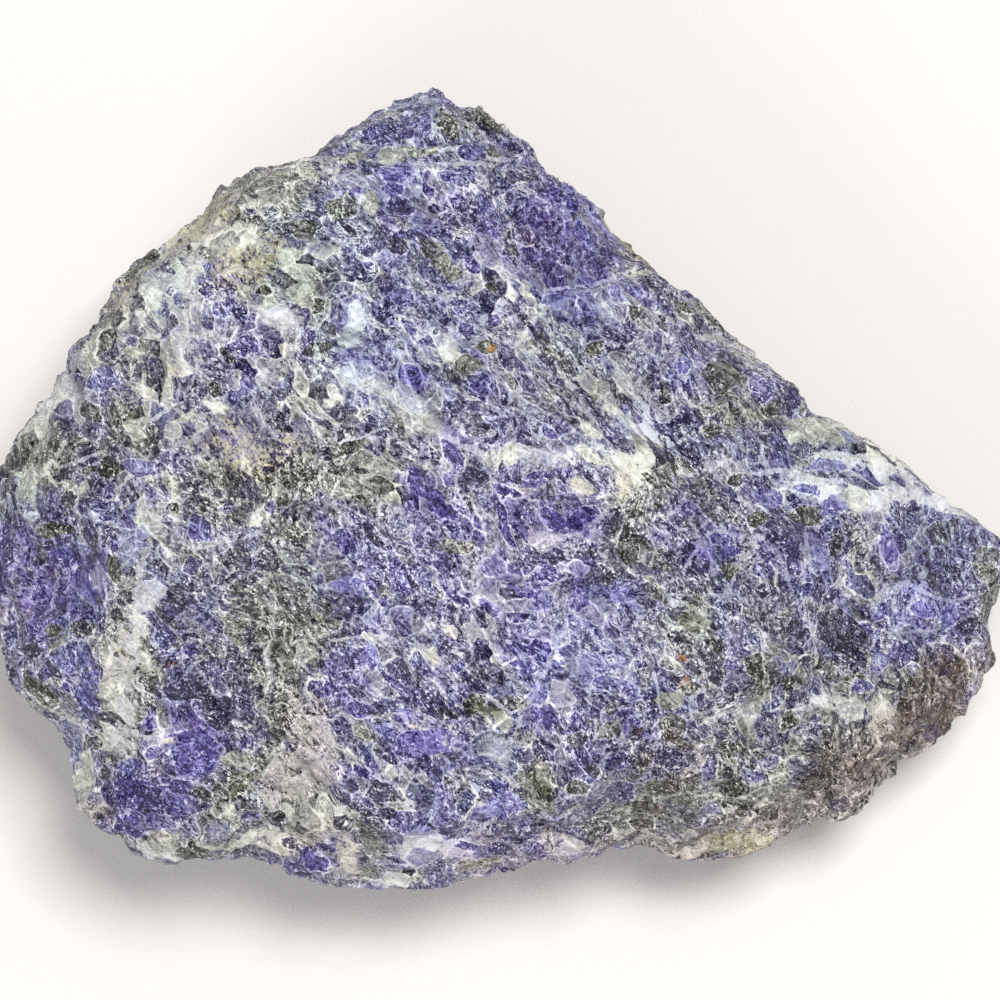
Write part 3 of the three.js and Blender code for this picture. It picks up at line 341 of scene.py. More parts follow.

# Veins of the upper side, and one painted line of shade along the step across the crown: half width,
# strength, and the points along it. All in mm.
VEINS = {
    Zone.PALE: [
        (
            1.3,
            0.6,
            [(-27, 19.5), (-19.5, 18.5), (-14.5, 15), (-10, 11), (-3.5, 9.5), (2.5, 7.5), (10, 7)]
            + [(17, 8.5), (24, 5)],
        ),
        (1.2, 0.7, [(44, 5), (51, 3), (59.5, 0), (68, 0)]),
        (0.5, 0.5, [(30, 18), (41, 9), (48.5, 3)]),
        (0.68, 0.25, [(10, 34), (17, 36.5), (25.5, 40)]),
    ],
    Zone.CALCITE: [
        (1.2, 0.7, [(-59, -2), (-61, -10), (-62, -17)]),
        (0.68, 0.8, [(-52, 40.5), (-53, 30.5), (-54, 26.5)]),
    ],
    Zone.GREY: [
        (4.4, 1, [(-35.5, 3.5), (-36.5, -10), (-35.5, -24), (-36.5, -37.5), (-34, -47.5)]),
        (2.4, 0.35, [(0, 34), (10, 25.5), (17, 17), (24, 7), (25.5, 0)]),
    ],
    Zone.DARK: [
        # The first dark vein is painted shade along the step across the crown.
        (0.51, 0.4, [(-31, 57), (-18.5, 58), (-11, 58.5), (-3.5, 60), (3.5, 60)]),
        (3, 0.35, [(-35.5, 3.5), (-36.5, -10), (-35.5, -24), (-36.5, -37.5)]),
    ],
}

# Grains that stand out on the upper side, and a few painted glints drawn as white grains: u, v, half length
# and half width in mm, turn in degrees, and in hundredths the tone from black to white and how blue it is.
GRAINS_AND_GLINTS = [
    (1, -4.5, 4.5, 1.2, -70, 22, 100), (9, -3.5, 3, 1.5, -50, 22, 110), (14, -3, 3.5, 1.5, 35, 25, 110),
    (8.5, 11.5, 2, 0.8, -35, 30, 100), (15, 3.5, 5, 0.8, -48, 28, 60), (6.5, 3.5, 3, 1.4, 20, 35, 90),
    (0.5, 1.5, 3, 1, -20, 25, 100), (15, -8.5, 2.5, 1.5, 30, 20, 60), (22, -7.5, 3.5, 2.2, 80, 20, 35),
    (9, -12, 2.5, 0.8, -30, 25, 90), (14, -14.5, 2.5, 1.2, 0, 28, 90), (18.5, -13.5, 2.5, 1.5, 20, 18, 40),
    (21, -16.5, 3, 1.4, 0, 55, 110), (25, -15.5, 2, 1.2, 0, 20, 50), (25, -12, 3, 1, 0, 27, 70),
    (32, -8, 2.5, 1.2, 20, 20, 80), (37.5, -6.5, 3, 1, 0, 28, 90), (39, -8.5, 2.5, 1.2, 0, 50, 110),
    (35.5, -9, 1.5, 1.4, 0, 42, 100), (39, -12, 2, 1.7, 0, 17, 5), (35, -12, 2, 1, 90, 25, 80),
    (32.5, -12, 2, 0.7, 60, 20, 60), (5.5, -15, 2, 1.7, -40, 40, 90), (2, -15.5, 2.5, 1.4, 0, 30, 40),
    (3.5, -20, 4, 1.2, 0, 25, 80), (28.5, 12, 2.5, 1.7, -40, 30, 70), (28.5, 18, 2.5, 1.4, 80, 24, 20),
    (37.5, 21, 3.5, 3.4, 0, 30, 25), (34, 8.5, 3.5, 1.5, 0, 40, 60), (36, 12, 2, 1.5, 0, 32, 10),
    # (15.5, 11.5) is a painted glint: a white fleck where a broken face catches the light.
    (36, -0.5, 5.5, 3.2, -50, 32, 40), (15.5, 11.5, 2.5, 1, -35, 97, 0), (2, 7.5, 2.5, 1.4, 80, 97, 0),
    (-1.5, 7, 2, 2.4, 0, 88, 20), (15.5, 7.5, 3.5, 1.4, -35, 93, 5), (14, 2.5, 3, 1.4, -30, 93, 10),
    (20.5, -20.5, 2.5, 1.5, 0, 60, 60), (44.5, 19, 3.5, 1.7, -70, 40, 90), (50.5, 18, 3, 1.5, -50, 26, 80),
    (46, 15.5, 1.5, 1.5, 0, 20, 30), (53, 12, 4.5, 2, -15, 82, 0), (49.5, 11, 2, 1, -40, 97, 0),
    (60, 10.5, 2.5, 1.4, -25, 55, 110), (51.5, 8.5, 3.5, 1.4, 0, 28, 50), (61, 0, 3, 2.7, 0, 100, 0),
    (56, 5.5, 4, 1.2, 5, 55, 100), (61, 6, 1, 0.8, 0, 20, 40), (51.5, 2, 3.5, 1, -10, 45, 100),
    (45.5, 0.5, 2.5, 2, 0, 50, 100), (57, -1, 3, 1.7, 0, 47, 90), (44, -3, 2, 1.5, 0, 20, 10),
    (52.5, -2.5, 3.5, 2, 0, 32, 15), (57, -7, 3.5, 1.7, 90, 20, 30), (50, -9.5, 4.5, 1.9, -75, 24, 80),
    (45, -12, 2, 1.7, -30, 38, 90), (55, -10.5, 4, 1, -65, 50, 90), (61.5, -14.5, 4, 2, -55, 37, 80),
    (66, -8.5, 5.5, 1.4, -80, 50, 95), (69.5, -3.5, 4, 1.7, 90, 28, 60), (75, -5.5, 3.5, 2.4, 0, 37, 30),
    (75.5, -13.5, 3.5, 3.1, 0, 25, 55), (70.5, -13, 2, 1.4, 50, 25, 50), (78.5, -15.5, 2, 1.4, 0, 30, 70),
    (70, -15.5, 1.5, 1.4, 0, 40, 100), (72.5, -18.5, 2.5, 2.2, 0, 52, 110),
    (76.5, -19.5, 2.5, 1.5, 80, 50, 100), (65, -19, 2, 1.5, 60, 45, 100), (58.5, -22.5, 5, 4.2, -40, 18, 40),
    (45.5, -15.5, 2, 1.5, 90, 22, 50), (42, -15, 2, 1.7, 90, 27, 60), (52, -15.5, 2, 1.4, 0, 35, 90),
    (39.5, -18.5, 2, 1.5, 0, 22, 50), (82.5, -11, 2.5, 4.1, 0, 42, 20), (41, -22.5, 3.5, 2.4, 0, 50, 60),
    (49.5, -23, 4, 3.2, -40, 36, 40), (49, -28.5, 1.5, 1.5, 0, 45, 85), (43.5, -28.5, 2.5, 2, -40, 20, 10),
    (39, -28, 1.5, 1.4, 0, 42, 80), (39, -32, 1.5, 1.4, 0, 30, 50), (47.5, -33, 2.5, 1.5, 70, 42, 75),
    (52, -27.5, 1.5, 1.4, 0, 25, 40), (55.5, -28, 1.5, 1.4, 0, 32, 30), (61.5, -31.5, 2.5, 1.5, 0, 42, 110),
    (59.5, -35.5, 3, 1.4, 0, 72, 40), (49, -37.5, 2.5, 1.5, 60, 25, 5), (44.5, -40, 1.5, 0.8, -20, 30, 70),
    (41.5, -43, 2, 1.5, -50, 30, 30), (46, -44.5, 2, 1.5, 0, 62, 80), (43, -47, 2, 1, 0, 50, 80),
    (39.5, -49, 3, 1.4, 0, 16, 10), (54.5, -39.5, 2.5, 1.7, 0, 32, 50), (69.5, -39.5, 1.5, 1, 20, 90, 0),
    (69.5, -42, 2, 1.4, 10, 25, 60), (73.5, -39.5, 2, 1.7, 0, 38, 90), (70.5, -31.5, 2.5, 1.5, 0, 30, 10),
    (69, -35, 2, 1.4, 0, 25, 10), (68, -26, 3.5, 2, 0, 42, 80), (75, -27, 3, 2.9, 0, 32, 60),
    (80.5, -27, 3, 1.7, 90, 50, 35), (84, -28, 2.5, 1.2, 90, 30, 10), (82.5, -30.5, 1.5, 0.7, 70, 87, 0),
    (64, -27, 2.5, 1.4, 80, 60, 85), (47, -49.5, 3, 2, 0, 64, 10), (46, -53, 2.5, 1.5, 0, 36, 10),
    (57, -52, 2.5, 1.5, 0, 33, 60), (63, -45.5, 1.5, 1.5, 0, 60, 20), (37.5, -35, 1, 0.5, 0, 10, 0),
    (2.5, -25, 2, 1.4, -20, 25, 110), (6, -25, 1.5, 1.5, 0, 22, 90), (4.5, -28.5, 3, 1.4, -10, 33, 100),
    (-1, -27.5, 1, 0.7, 0, 98, 0), (-1, -32.5, 1.5, 1.4, 0, 40, 80), (2, -34.5, 2.5, 1.4, 0, 27, 15),
    (6.5, -33, 2, 1.4, 60, 55, 110), (8.5, -37, 3, 1.5, -75, 30, 95), (13, -37.5, 1.5, 1.4, 0, 35, 100),
    (13, -41, 2.5, 1.5, 20, 30, 30), (19, -39, 2.5, 1.4, 30, 40, 20), (19.5, -35.5, 1.5, 1.2, 0, 20, 40),
    (18.5, -31, 3.5, 1.7, 0, 45, 90), (22.5, -32.5, 1.5, 1.5, 0, 38, 100), (25.5, -33, 1.5, 1.4, 0, 28, 80),
    (24, -28, 1.5, 1, 0, 30, 80), (17, -25, 1.5, 1.2, 0, 36, 90), (13, -23.5, 1, 0.5, 0, 25, 50),
    (10, -28, 1.5, 1.4, 50, 45, 100), (8, -25, 1.5, 0.8, 90, 42, 110), (15.5, -28, 5, 1.9, 0, 64, 80),
    (0.5, -37.5, 2.5, 1.7, -40, 83, 0), (0, -48.5, 2, 1.5, 0, 24, 110), (0.5, -52, 3.5, 1.9, 20, 58, 100),
    (-0.5, -56.5, 2, 1, 90, 25, 100), (14, -44, 2.5, 1.7, -60, 22, 80), (15.5, -46, 2, 1.4, -40, 15, 30),
    (13, -49, 2.5, 1.5, 0, 20, 10), (20.5, -42, 2.5, 1, 10, 20, 50), (20.5, -44.5, 3, 1.7, 0, 24, 80),
    (20, -50, 3, 2.2, 0, 28, 85), (22.5, -38.5, 2, 1.4, 60, 40, 90), (25, -40, 2, 1.2, 60, 38, 90),
    (29.5, -39, 3, 2.6, 0, 27, 10), (29, -44, 3.5, 2.2, -10, 28, 65), (27, -49, 3.5, 2, 0, 25, 10),
    (35.5, -46, 2.5, 1.4, 70, 42, 80), (35, -39, 1.5, 1.4, 0, 38, 60), (29, -34.5, 3.5, 1.5, 0, 68, 0),
    (32.5, -32, 2.5, 1.4, 30, 32, 10), (28.5, -28, 1.5, 1.5, 0, 35, 20), (24, -55, 2.5, 1.5, 0, 25, 10),
    (17, -56, 2, 1.4, 0, 33, 40), (5.5, -59.5, 2.5, 1.5, 0, 42, 80), (7.5, -55.5, 2, 2, 0, 40, 40),
    (8.5, -58.5, 1.5, 0.5, -60, 12, 0), (32.5, -55, 2, 1.7, 0, 42, 50), (39.5, -42.5, 2, 1.7, 0, 30, 30),
    (36, -52.5, 2.5, 1.5, 0, 50, 60), (-15, 21, 3, 1.7, -50, 27, 110), (-3, 19.5, 2.5, 2, -40, 42, 90),
    (-5.5, 23, 2.5, 1.7, 0, 32, 5), (-5, 15.5, 5.5, 1.5, 0, 30, 50), (-3.5, 12, 4, 1.5, 0, 36, 40),
    (-12, 6, 1, 0.8, 0, 91, 35), (-8, 8, 3, 1.2, -50, 25, 90), (-11, 7, 2, 0.6, -65, 20, 50),
    (-14.5, 3, 3.5, 1, -80, 28, 110), (-12, 3.5, 1.5, 1.4, 0, 30, 60), (-11.5, 1, 3.5, 1.7, -20, 25, 115),
    (-9.5, -2, 3.5, 1.7, -20, 24, 115), (-8.5, 3.5, 2, 1.4, 80, 44, 90), (-5, -1.5, 3, 0.5, -60, 15, 40),
    (-4, -4, 1.5, 0.7, -60, 30, 100), (-16, -3.5, 3.5, 2.9, -50, 62, 75), (-22, 13, 2, 1.7, 0, 28, 60),
    (-23.5, 17, 2, 1.7, 0, 62, 80), (-20.5, 19, 4, 1.5, -20, 87, 35), (-15, 12.5, 3, 1.7, -30, 79, 35),
    (-31.5, 12, 2, 0.4, -65, 15, 0), (-25, 9, 3.5, 1.2, 25, 25, 5), (-36.5, 15, 2, 0.8, -80, 30, 50),
    (-37, 19.5, 1.5, 1.4, 0, 50, 75), (-42.5, 21.5, 1.5, 1.2, 0, 25, 85), (-36.5, 5, 1, 0.8, 0, 20, 10),
    (-39, 3.5, 1.5, 0.7, 0, 22, 10), (-41.5, 4.5, 1.5, 0.8, 80, 25, 20), (-39, -1.5, 1.5, 1.2, -40, 45, 95),
    (-43, -1.5, 1.5, 1.4, 0, 25, 50), (-26, -7.5, 3.5, 1.9, -55, 27, 95), (-21.5, -6, 4.5, 1, -55, 20, 60),
    (-24.5, -11, 2.5, 0.8, -35, 20, 50), (-26, -14, 3.5, 1.4, 5, 58, 100), (-29, -8, 2, 1.5, 90, 35, 50),
    (-17, -13, 4.5, 1.7, -70, 38, 95), (-15, -13, 4, 0.4, -68, 14, 30), (-12, -15, 2.5, 1.4, -60, 44, 90),
    (-9.5, -12, 2.5, 1, -50, 25, 70), (-19.5, -15.5, 1.5, 1.4, 0, 25, 30), (-1.5, -11.5, 2, 1.7, 0, 47, 80),
    (-2.5, -17.5, 2, 0.8, -30, 35, 110), (-7, -8, 3.5, 1.5, 0, 52, 5), (-18, 8.5, 1, 0.8, 0, 25, 40),
    (-26, -27, 3.5, 2.2, 10, 30, 80), (-22, -26.5, 3, 1.5, 90, 57, 105), (-32.5, -26, 2.5, 2, -40, 74, 25),
    (-29.5, -32.5, 3.5, 1.5, 0, 33, 80), (-24.5, -32.5, 2, 1.2, -30, 25, 50),
    (-31.5, -35.5, 2, 0.7, -45, 27, 110), (-24, -35.5, 2.5, 1.4, -20, 27, 100),
    (-22, -23, 2, 0.8, 0, 92, 20), (-11.5, -26.5, 2.5, 1.4, -50, 92, 0), (-8.5, -22.5, 1.5, 1, -30, 96, 10),
    (-13, -28.5, 3.5, 1.2, -45, 26, 90), (-7, -28.5, 1.5, 1, 0, 33, 100), (-11.5, -34, 6, 2, -35, 22, 70),
    (-9, -36.5, 2.5, 1.4, -10, 20, 35), (-4.5, -34.5, 2, 2.2, 0, 28, 0), (-16, -36.5, 2.5, 1.2, 0, 60, 105),
    # (-14.5, -38.5) is a painted glint: a white fleck where a broken face catches the light.
    (-13, -41, 5, 2.9, 5, 42, 125), (-19.5, -39, 2, 1.4, 0, 50, 100), (-14.5, -38.5, 1, 0.5, 0, 97, 0),
    (-18.5, -46, 1.5, 1.4, 0, 86, 20), (-22.5, -43.5, 3, 1.4, -60, 25, 80), (-27.5, -46, 2, 1, -30, 24, 110),
    (-23.5, -46, 2, 0.7, -45, 25, 100), (-28.5, -50.5, 2, 0.4, -55, 15, 30), (-35, -42, 2, 1, 0, 28, 70),
    (-43.5, -41.5, 1.5, 1.7, 0, 35, 90), (-42.5, -35, 4, 1.7, 90, 38, 60),
    (-42, -54, 1.5, 0.8, -10, 27, 110), (-43, -50.5, 1, 0.7, 0, 25, 80), (-35.5, -58.5, 2, 1, -20, 14, 50),
    (-31.5, -61, 3.5, 2, -30, 30, 110), (-26.5, -61, 4, 1, -62, 88, 0), (-20, -49.5, 3.5, 1.7, 0, 25, 50),
    (-15.5, -54.5, 4.5, 2.4, 0, 36, 80), (-6, -51.5, 2.5, 1.5, 60, 25, 80), (-6.5, -54.5, 1, 1, 0, 28, 90),
    (-8.5, -48.5, 1.5, 1.2, 90, 27, 40), (-8, -43.5, 2.5, 1.2, 0, 28, 50), (-5, -58.5, 2.5, 0.8, 0, 25, 100),
    (-13, -60.5, 4.5, 2.2, 0, 62, 70), (-3.5, -62, 5, 1.5, 10, 56, 10), (-66.5, 5.5, 2.5, 1.9, 0, 12, 10),
    (-70, 5, 2, 0.8, 10, 20, 20), (-69.5, 15, 2, 1.7, 0, 22, 15), (-67.5, 20.5, 3.5, 2.2, 10, 50, 95),
    (-74, 16, 2, 1.7, 0, 45, 60), (-69, 11.5, 3, 1.9, 0, 42, 70), (-66, 24.5, 2, 1.7, 0, 30, 50),
    (-58.5, 22.5, 1.5, 1.4, 0, 25, 70), (-48.5, 19, 1.5, 1.5, 0, 10, 20), (-47.5, 15.5, 2, 1.4, -20, 97, 0),
    (-45.5, 17.5, 2.5, 1, 90, 27, 90), (-43.5, 19, 1.5, 1.4, 0, 55, 90), (-61, 5.5, 3.5, 2, 0, 55, 90),
    (-57, 6.5, 2, 1, 90, 33, 60), (-73.5, 0, 1.5, 1.4, 0, 20, 30), (-67, -1.5, 2.5, 1.7, 0, 38, 80),
    (-75.5, -5, 3, 1.5, 0, 28, 0), (-74.5, -10, 3.5, 1.7, 0, 22, 95), (-75.5, -13, 2, 0.4, 80, 93, 10),
    (-71, -14.5, 3.5, 1.7, -50, 42, 130), (-74.5, -16.5, 2.5, 1.4, 80, 26, 130),
    (-66, -12, 3.5, 1.4, -65, 24, 5), (-66, -8, 1.5, 1, -60, 22, 70), (-63, -8.5, 3.5, 2.2, 90, 62, 65),
    (-60, -3, 3, 1.9, 0, 86, 0), (-56, 2.5, 2.5, 1.4, -60, 86, 0), (-55.5, -1.5, 1.5, 1, -50, 25, 0),
    (-61.5, -18.5, 3, 1.8, 25, 82, 35), (-51, -5, 3, 2, -60, 36, 100), (-46, -1.5, 1.5, 1.4, 0, 20, 80),
    (-48, 1, 1.5, 1, 0, 40, 40), (-51.5, 2, 1.5, 1.4, 0, 22, 50), (-52.5, -11.5, 2, 1.7, 0, 43, 80),
    (-44.5, -10, 3.5, 2.4, 0, 30, 30), (-53, -16.5, 2, 1.2, 0, 25, 70), (-47, -18, 2, 1, -30, 30, 60),
    (-60, -13, 2, 1, 0, 30, 50), (-59, 11.5, 1.5, 1.5, 0, 32, 40), (-83.5, -22.5, 3.5, 1.7, 90, 25, 95),
    (-76, -22, 1.5, 1.4, 0, 28, 0), (-71.5, -22, 2.5, 1.5, 0, 27, 30), (-79.5, -25.5, 2, 1.4, 0, 22, 50),
    (-83.5, -28.5, 2, 1.4, 0, 28, 70), (-77.5, -29.5, 1.5, 1, 90, 25, 90),
    (-78, -32.5, 4.5, 1.9, -45, 27, 0), (-72.5, -26.5, 4.5, 2.4, 0, 42, 95),
    (-70, -32.5, 4.5, 2.7, 80, 42, 105), (-74, -32, 1, 0.8, 0, 28, 120), (-69.5, -36.5, 2, 1.2, 0, 25, 100),
    (-69.5, -41.5, 2, 1.5, 90, 30, 30), (-56.5, -24, 3.5, 2, -80, 28, 80),
    (-52.5, -25.5, 1.5, 1.2, 0, 42, 100), (-48, -28.5, 3, 1.9, 0, 36, 75), (-53, -32, 4, 2.4, 0, 22, 60),
    (-48, -36.5, 3.5, 2.4, -60, 17, 50), (-58.5, -35, 1.5, 1.4, 0, 20, 40), (-44, -34, 5, 2.4, 90, 36, 60),
    (-52, -43, 5, 3.9, -20, 34, 125), (-59.5, -37.5, 1.5, 1.7, 0, 50, 100), (-58.5, -43, 2, 1.7, 0, 50, 90),
    (-56.5, -41, 1.5, 1, 0, 88, 10), (-62.5, -45.5, 2, 1.4, 0, 25, 90), (-62.5, -50, 6, 3.1, 0, 20, 95),
    (-54, -49, 3, 1.9, 0, 36, 80), (-50.5, -50, 2.5, 1.2, -20, 27, 30), (-67, -46.5, 1.5, 1.4, 0, 27, 30),
    (-63, -55.5, 3, 2, -30, 24, 110), (-57.5, -55, 3.5, 1.4, 0, 38, 80), (-58, -58.5, 3, 2.4, 0, 76, 0),
    (-52, -60, 3, 1.5, 0, 20, 0), (-44, -48.5, 4, 1, 40, 28, 0), (-44.5, -44, 3.5, 1.9, 10, 73, -10),
    (-47, -53, 3, 2, 0, 80, 10), (-48, -56.5, 3, 2, 30, 58, 50), (-70.5, -48, 5.5, 1.5, 85, 83, 10),
    (-68, -52.5, 1.5, 1, 0, 76, -10), (-13.5, 67, 3.5, 1.9, 0, 55, 70), (-21, 62.5, 3.5, 1.9, -15, 40, 95),
    (-15, 63, 3.5, 2.2, 0, 42, 85), (-8.5, 63.5, 3, 1.7, -60, 30, 0), (-1.5, 64.5, 3.5, 1.5, -35, 14, 0),
    (-6, 64.5, 1.5, 1.4, 0, 38, 50), (-5, 59.5, 3, 1.7, 0, 52, 90), (-1, 59, 1.5, 1.2, 0, 30, 0),
    (1.5, 60.5, 1.5, 1, 0, 40, 90), (-22, 59, 1.5, 1, 0, 38, 90), (-19, 59, 9, 1.2, 5, 72, 0),
    (-18.5, 55.5, 3.5, 1.4, 0, 44, 110), (-18, 53, 2.5, 1.4, 0, 35, 110), (-17, 50, 3, 1.7, 0, 13, 80),
    (-12, 52.5, 1.5, 1, -70, 22, 100), (-7.5, 54.5, 3.5, 1.2, -20, 36, 90),
    (-7.5, 50.5, 1.5, 1, -30, 20, 80), (-11, 49.5, 1.5, 0.8, 0, 22, 70), (-26, 52, 1.5, 0.4, 70, 95, 0),
    (-27, 50, 3.5, 1.9, 0, 30, 10), (-22, 50.5, 2.5, 1.7, 90, 76, 0), (-33.5, 46, 3, 2, 0, 27, 20),
    (-37.5, 46.5, 1.5, 1.4, 0, 30, 40), (-25.5, 46, 2, 0.8, -45, 24, 40), (-13.5, 45.5, 3.5, 1.4, 5, 25, 90),
    (-17.5, 43.5, 2.5, 1.5, 0, 17, 40), (-23, 42.5, 2, 1.4, 0, 28, 85), (-22.5, 40, 1.5, 0.8, 0, 40, 130),
    (-6.5, 43, 3, 1.4, -55, 20, 80), (-2, 48, 5, 1.5, -70, 40, 100), (-5, 40, 2, 1.2, -40, 44, 90),
    (-10, 40.5, 5, 2, -50, 50, 0), (-1.5, 36, 2, 0.7, -45, 30, -10), (-21.5, 35.5, 2, 1.2, -60, 30, 40),
    (-26.5, 35.5, 2, 1.5, 0, 42, 60), (-31, 33, 2, 1.2, 80, 13, 20), (-29, 29.5, 1.5, 1.2, -60, 28, 30),
    (-16.5, 34.5, 2.5, 1.7, 0, 42, 85), (-7, 33, 2, 1.5, 30, 25, 90), (-18, 30, 1, 0.7, -20, 25, 120),
    (-15.5, 29.5, 2.5, 1, -55, 38, 90), (-20.5, 27, 2.5, 1.5, -75, 33, 80), (-11, 28.5, 1, 0.7, 50, 20, 50),
    (-5.5, 29, 2, 1.4, -45, 28, 90), (-1, 30.5, 1.5, 1, 0, 30, 100), (-2, 26, 2.5, 1.2, 0, 25, -10),
    (-25, 27.5, 2.5, 2.4, 0, 76, 40), (-31, 26, 3.5, 1.2, 0, 27, 10), (-30.5, 24, 1.5, 0.8, 0, 87, 35),
    (-37, 25.5, 1.5, 1, -60, 93, 0), (-33.5, 35.5, 1.5, 1.4, 0, 88, 0), (-39, 40, 2, 1.4, -60, 40, -10),
    (-40, 35.5, 1.5, 0.8, 0, 28, 0), (-42.5, 30, 1.5, 1.5, 0, 32, 80), (-42, 26, 1.5, 1.4, 0, 30, 80),
    (-42.5, 49, 1.5, 0.8, 0, 30, 70), (-39.5, 54.5, 5.5, 2.2, 15, 52, -10), (-12, 43, 2.5, 1.4, -40, 30, 20),
    (10, 52, 2.5, 1.5, -35, 36, 115), (2, 42.5, 1.5, 1.2, 0, 20, 30), (1, 45.5, 1.5, 1, 90, 20, 40),
    (5, 41.5, 2, 1.4, -60, 24, 90), (12.5, 46, 2.5, 1.7, -50, 33, 100), (15.5, 46, 2.5, 1, -75, 27, 90),
    (17, 40, 2.5, 1.5, 0, 26, 70), (8.5, 42, 2, 1.5, -60, 27, 80), (2.5, 51.5, 2.5, 1.7, 0, 43, 70),
    (3, 55.5, 4, 1.7, 0, 33, 50), (23.5, 38.5, 2.5, 0.8, 10, 86, 10), (21, 35.5, 3.5, 1.4, -10, 60, 90),
    (27.5, 37, 2, 1, -50, 27, 60), (32, 33, 2.5, 1.4, -40, 16, 5), (36, 30.5, 2.5, 1.5, -30, 16, 0),
    (23, 32, 1.5, 1.2, 0, 22, 20), (27.5, 30, 2, 1, -70, 25, 30), (22, 28.5, 2.5, 1.7, 90, 26, 70),
    (16, 26, 2, 1.4, 0, 22, 10), (10.5, 34, 3, 1.5, 0, 43, 95), (5, 35.5, 2.5, 1.4, -40, 86, 20),
    (5, 33, 1.5, 0.5, 0, 30, 60), (31, 23, 2, 1.5, 0, 55, 110), (37.5, 26, 2.5, 0.8, 0, 30, 80),
    (36.5, 27.5, 4.5, 0.8, -5, 80, 30), (42.5, 25, 2.5, 1.2, -55, 80, 0), (6, 47.5, 4, 2, -60, 31, 85),
    (-49.5, 39, 1.5, 1.5, 0, 25, 100), (-50, 35.5, 1.5, 1.4, 0, 28, 90), (-47.5, 32.5, 2, 1.7, 0, 38, 95),
    (-42.5, 31, 2, 1.2, 0, 30, 90), (-44, 26, 3, 1.9, 0, 36, 95), (-46.5, 24.5, 2.5, 1, -50, 18, 20),
    (-50, 25.5, 2, 1.4, 90, 42, 80), (-66.5, 26.5, 4, 1.7, 90, 25, 20), (-62.5, 27, 1.5, 1.2, 0, 40, 90),
    (-56, 26.5, 2, 2, 0, 76, 30), (-55.5, 30.5, 1.5, 1, 90, 25, 40), (-56, 35.5, 1, 0.8, 0, 38, 80),
    (-52.5, 45, 3.5, 1.5, 55, 86, -20), (-47.5, 43, 3.5, 2.2, 40, 70, 20),
    (-47.5, 50.5, 3.5, 1.5, 20, 66, -20), (-61, 40, 5, 1.9, 45, 25, 0), (-18, -31.5, 4, 0.8, -45, 20, 100),
    (-13.5, -34, 4, 0.8, -45, 18, 100), (-10.5, -32, 3, 0.6, -50, 80, 40),
    (-21, -15.5, 3.5, 0.9, -55, 25, 100), (-26.5, -10, 3, 0.8, -45, 78, 50), (-7, -17, 3, 0.7, -40, 22, 100),
    (3.5, -15.5, 3.5, 0.8, -20, 20, 100), (7, -13, 3, 0.7, -10, 18, 100),
    (-1.5, -20.5, 2.5, 0.8, -50, 80, 40), (25.5, 3.5, 2.5, 0.7, -50, 20, 10),
    (32.5, 5, 3.5, 0.6, -50, 15, 10), (35.5, 1.5, 3.5, 0.6, -50, 75, 20), (40, 3.5, 1.5, 1.4, 0, 15, 20),
]
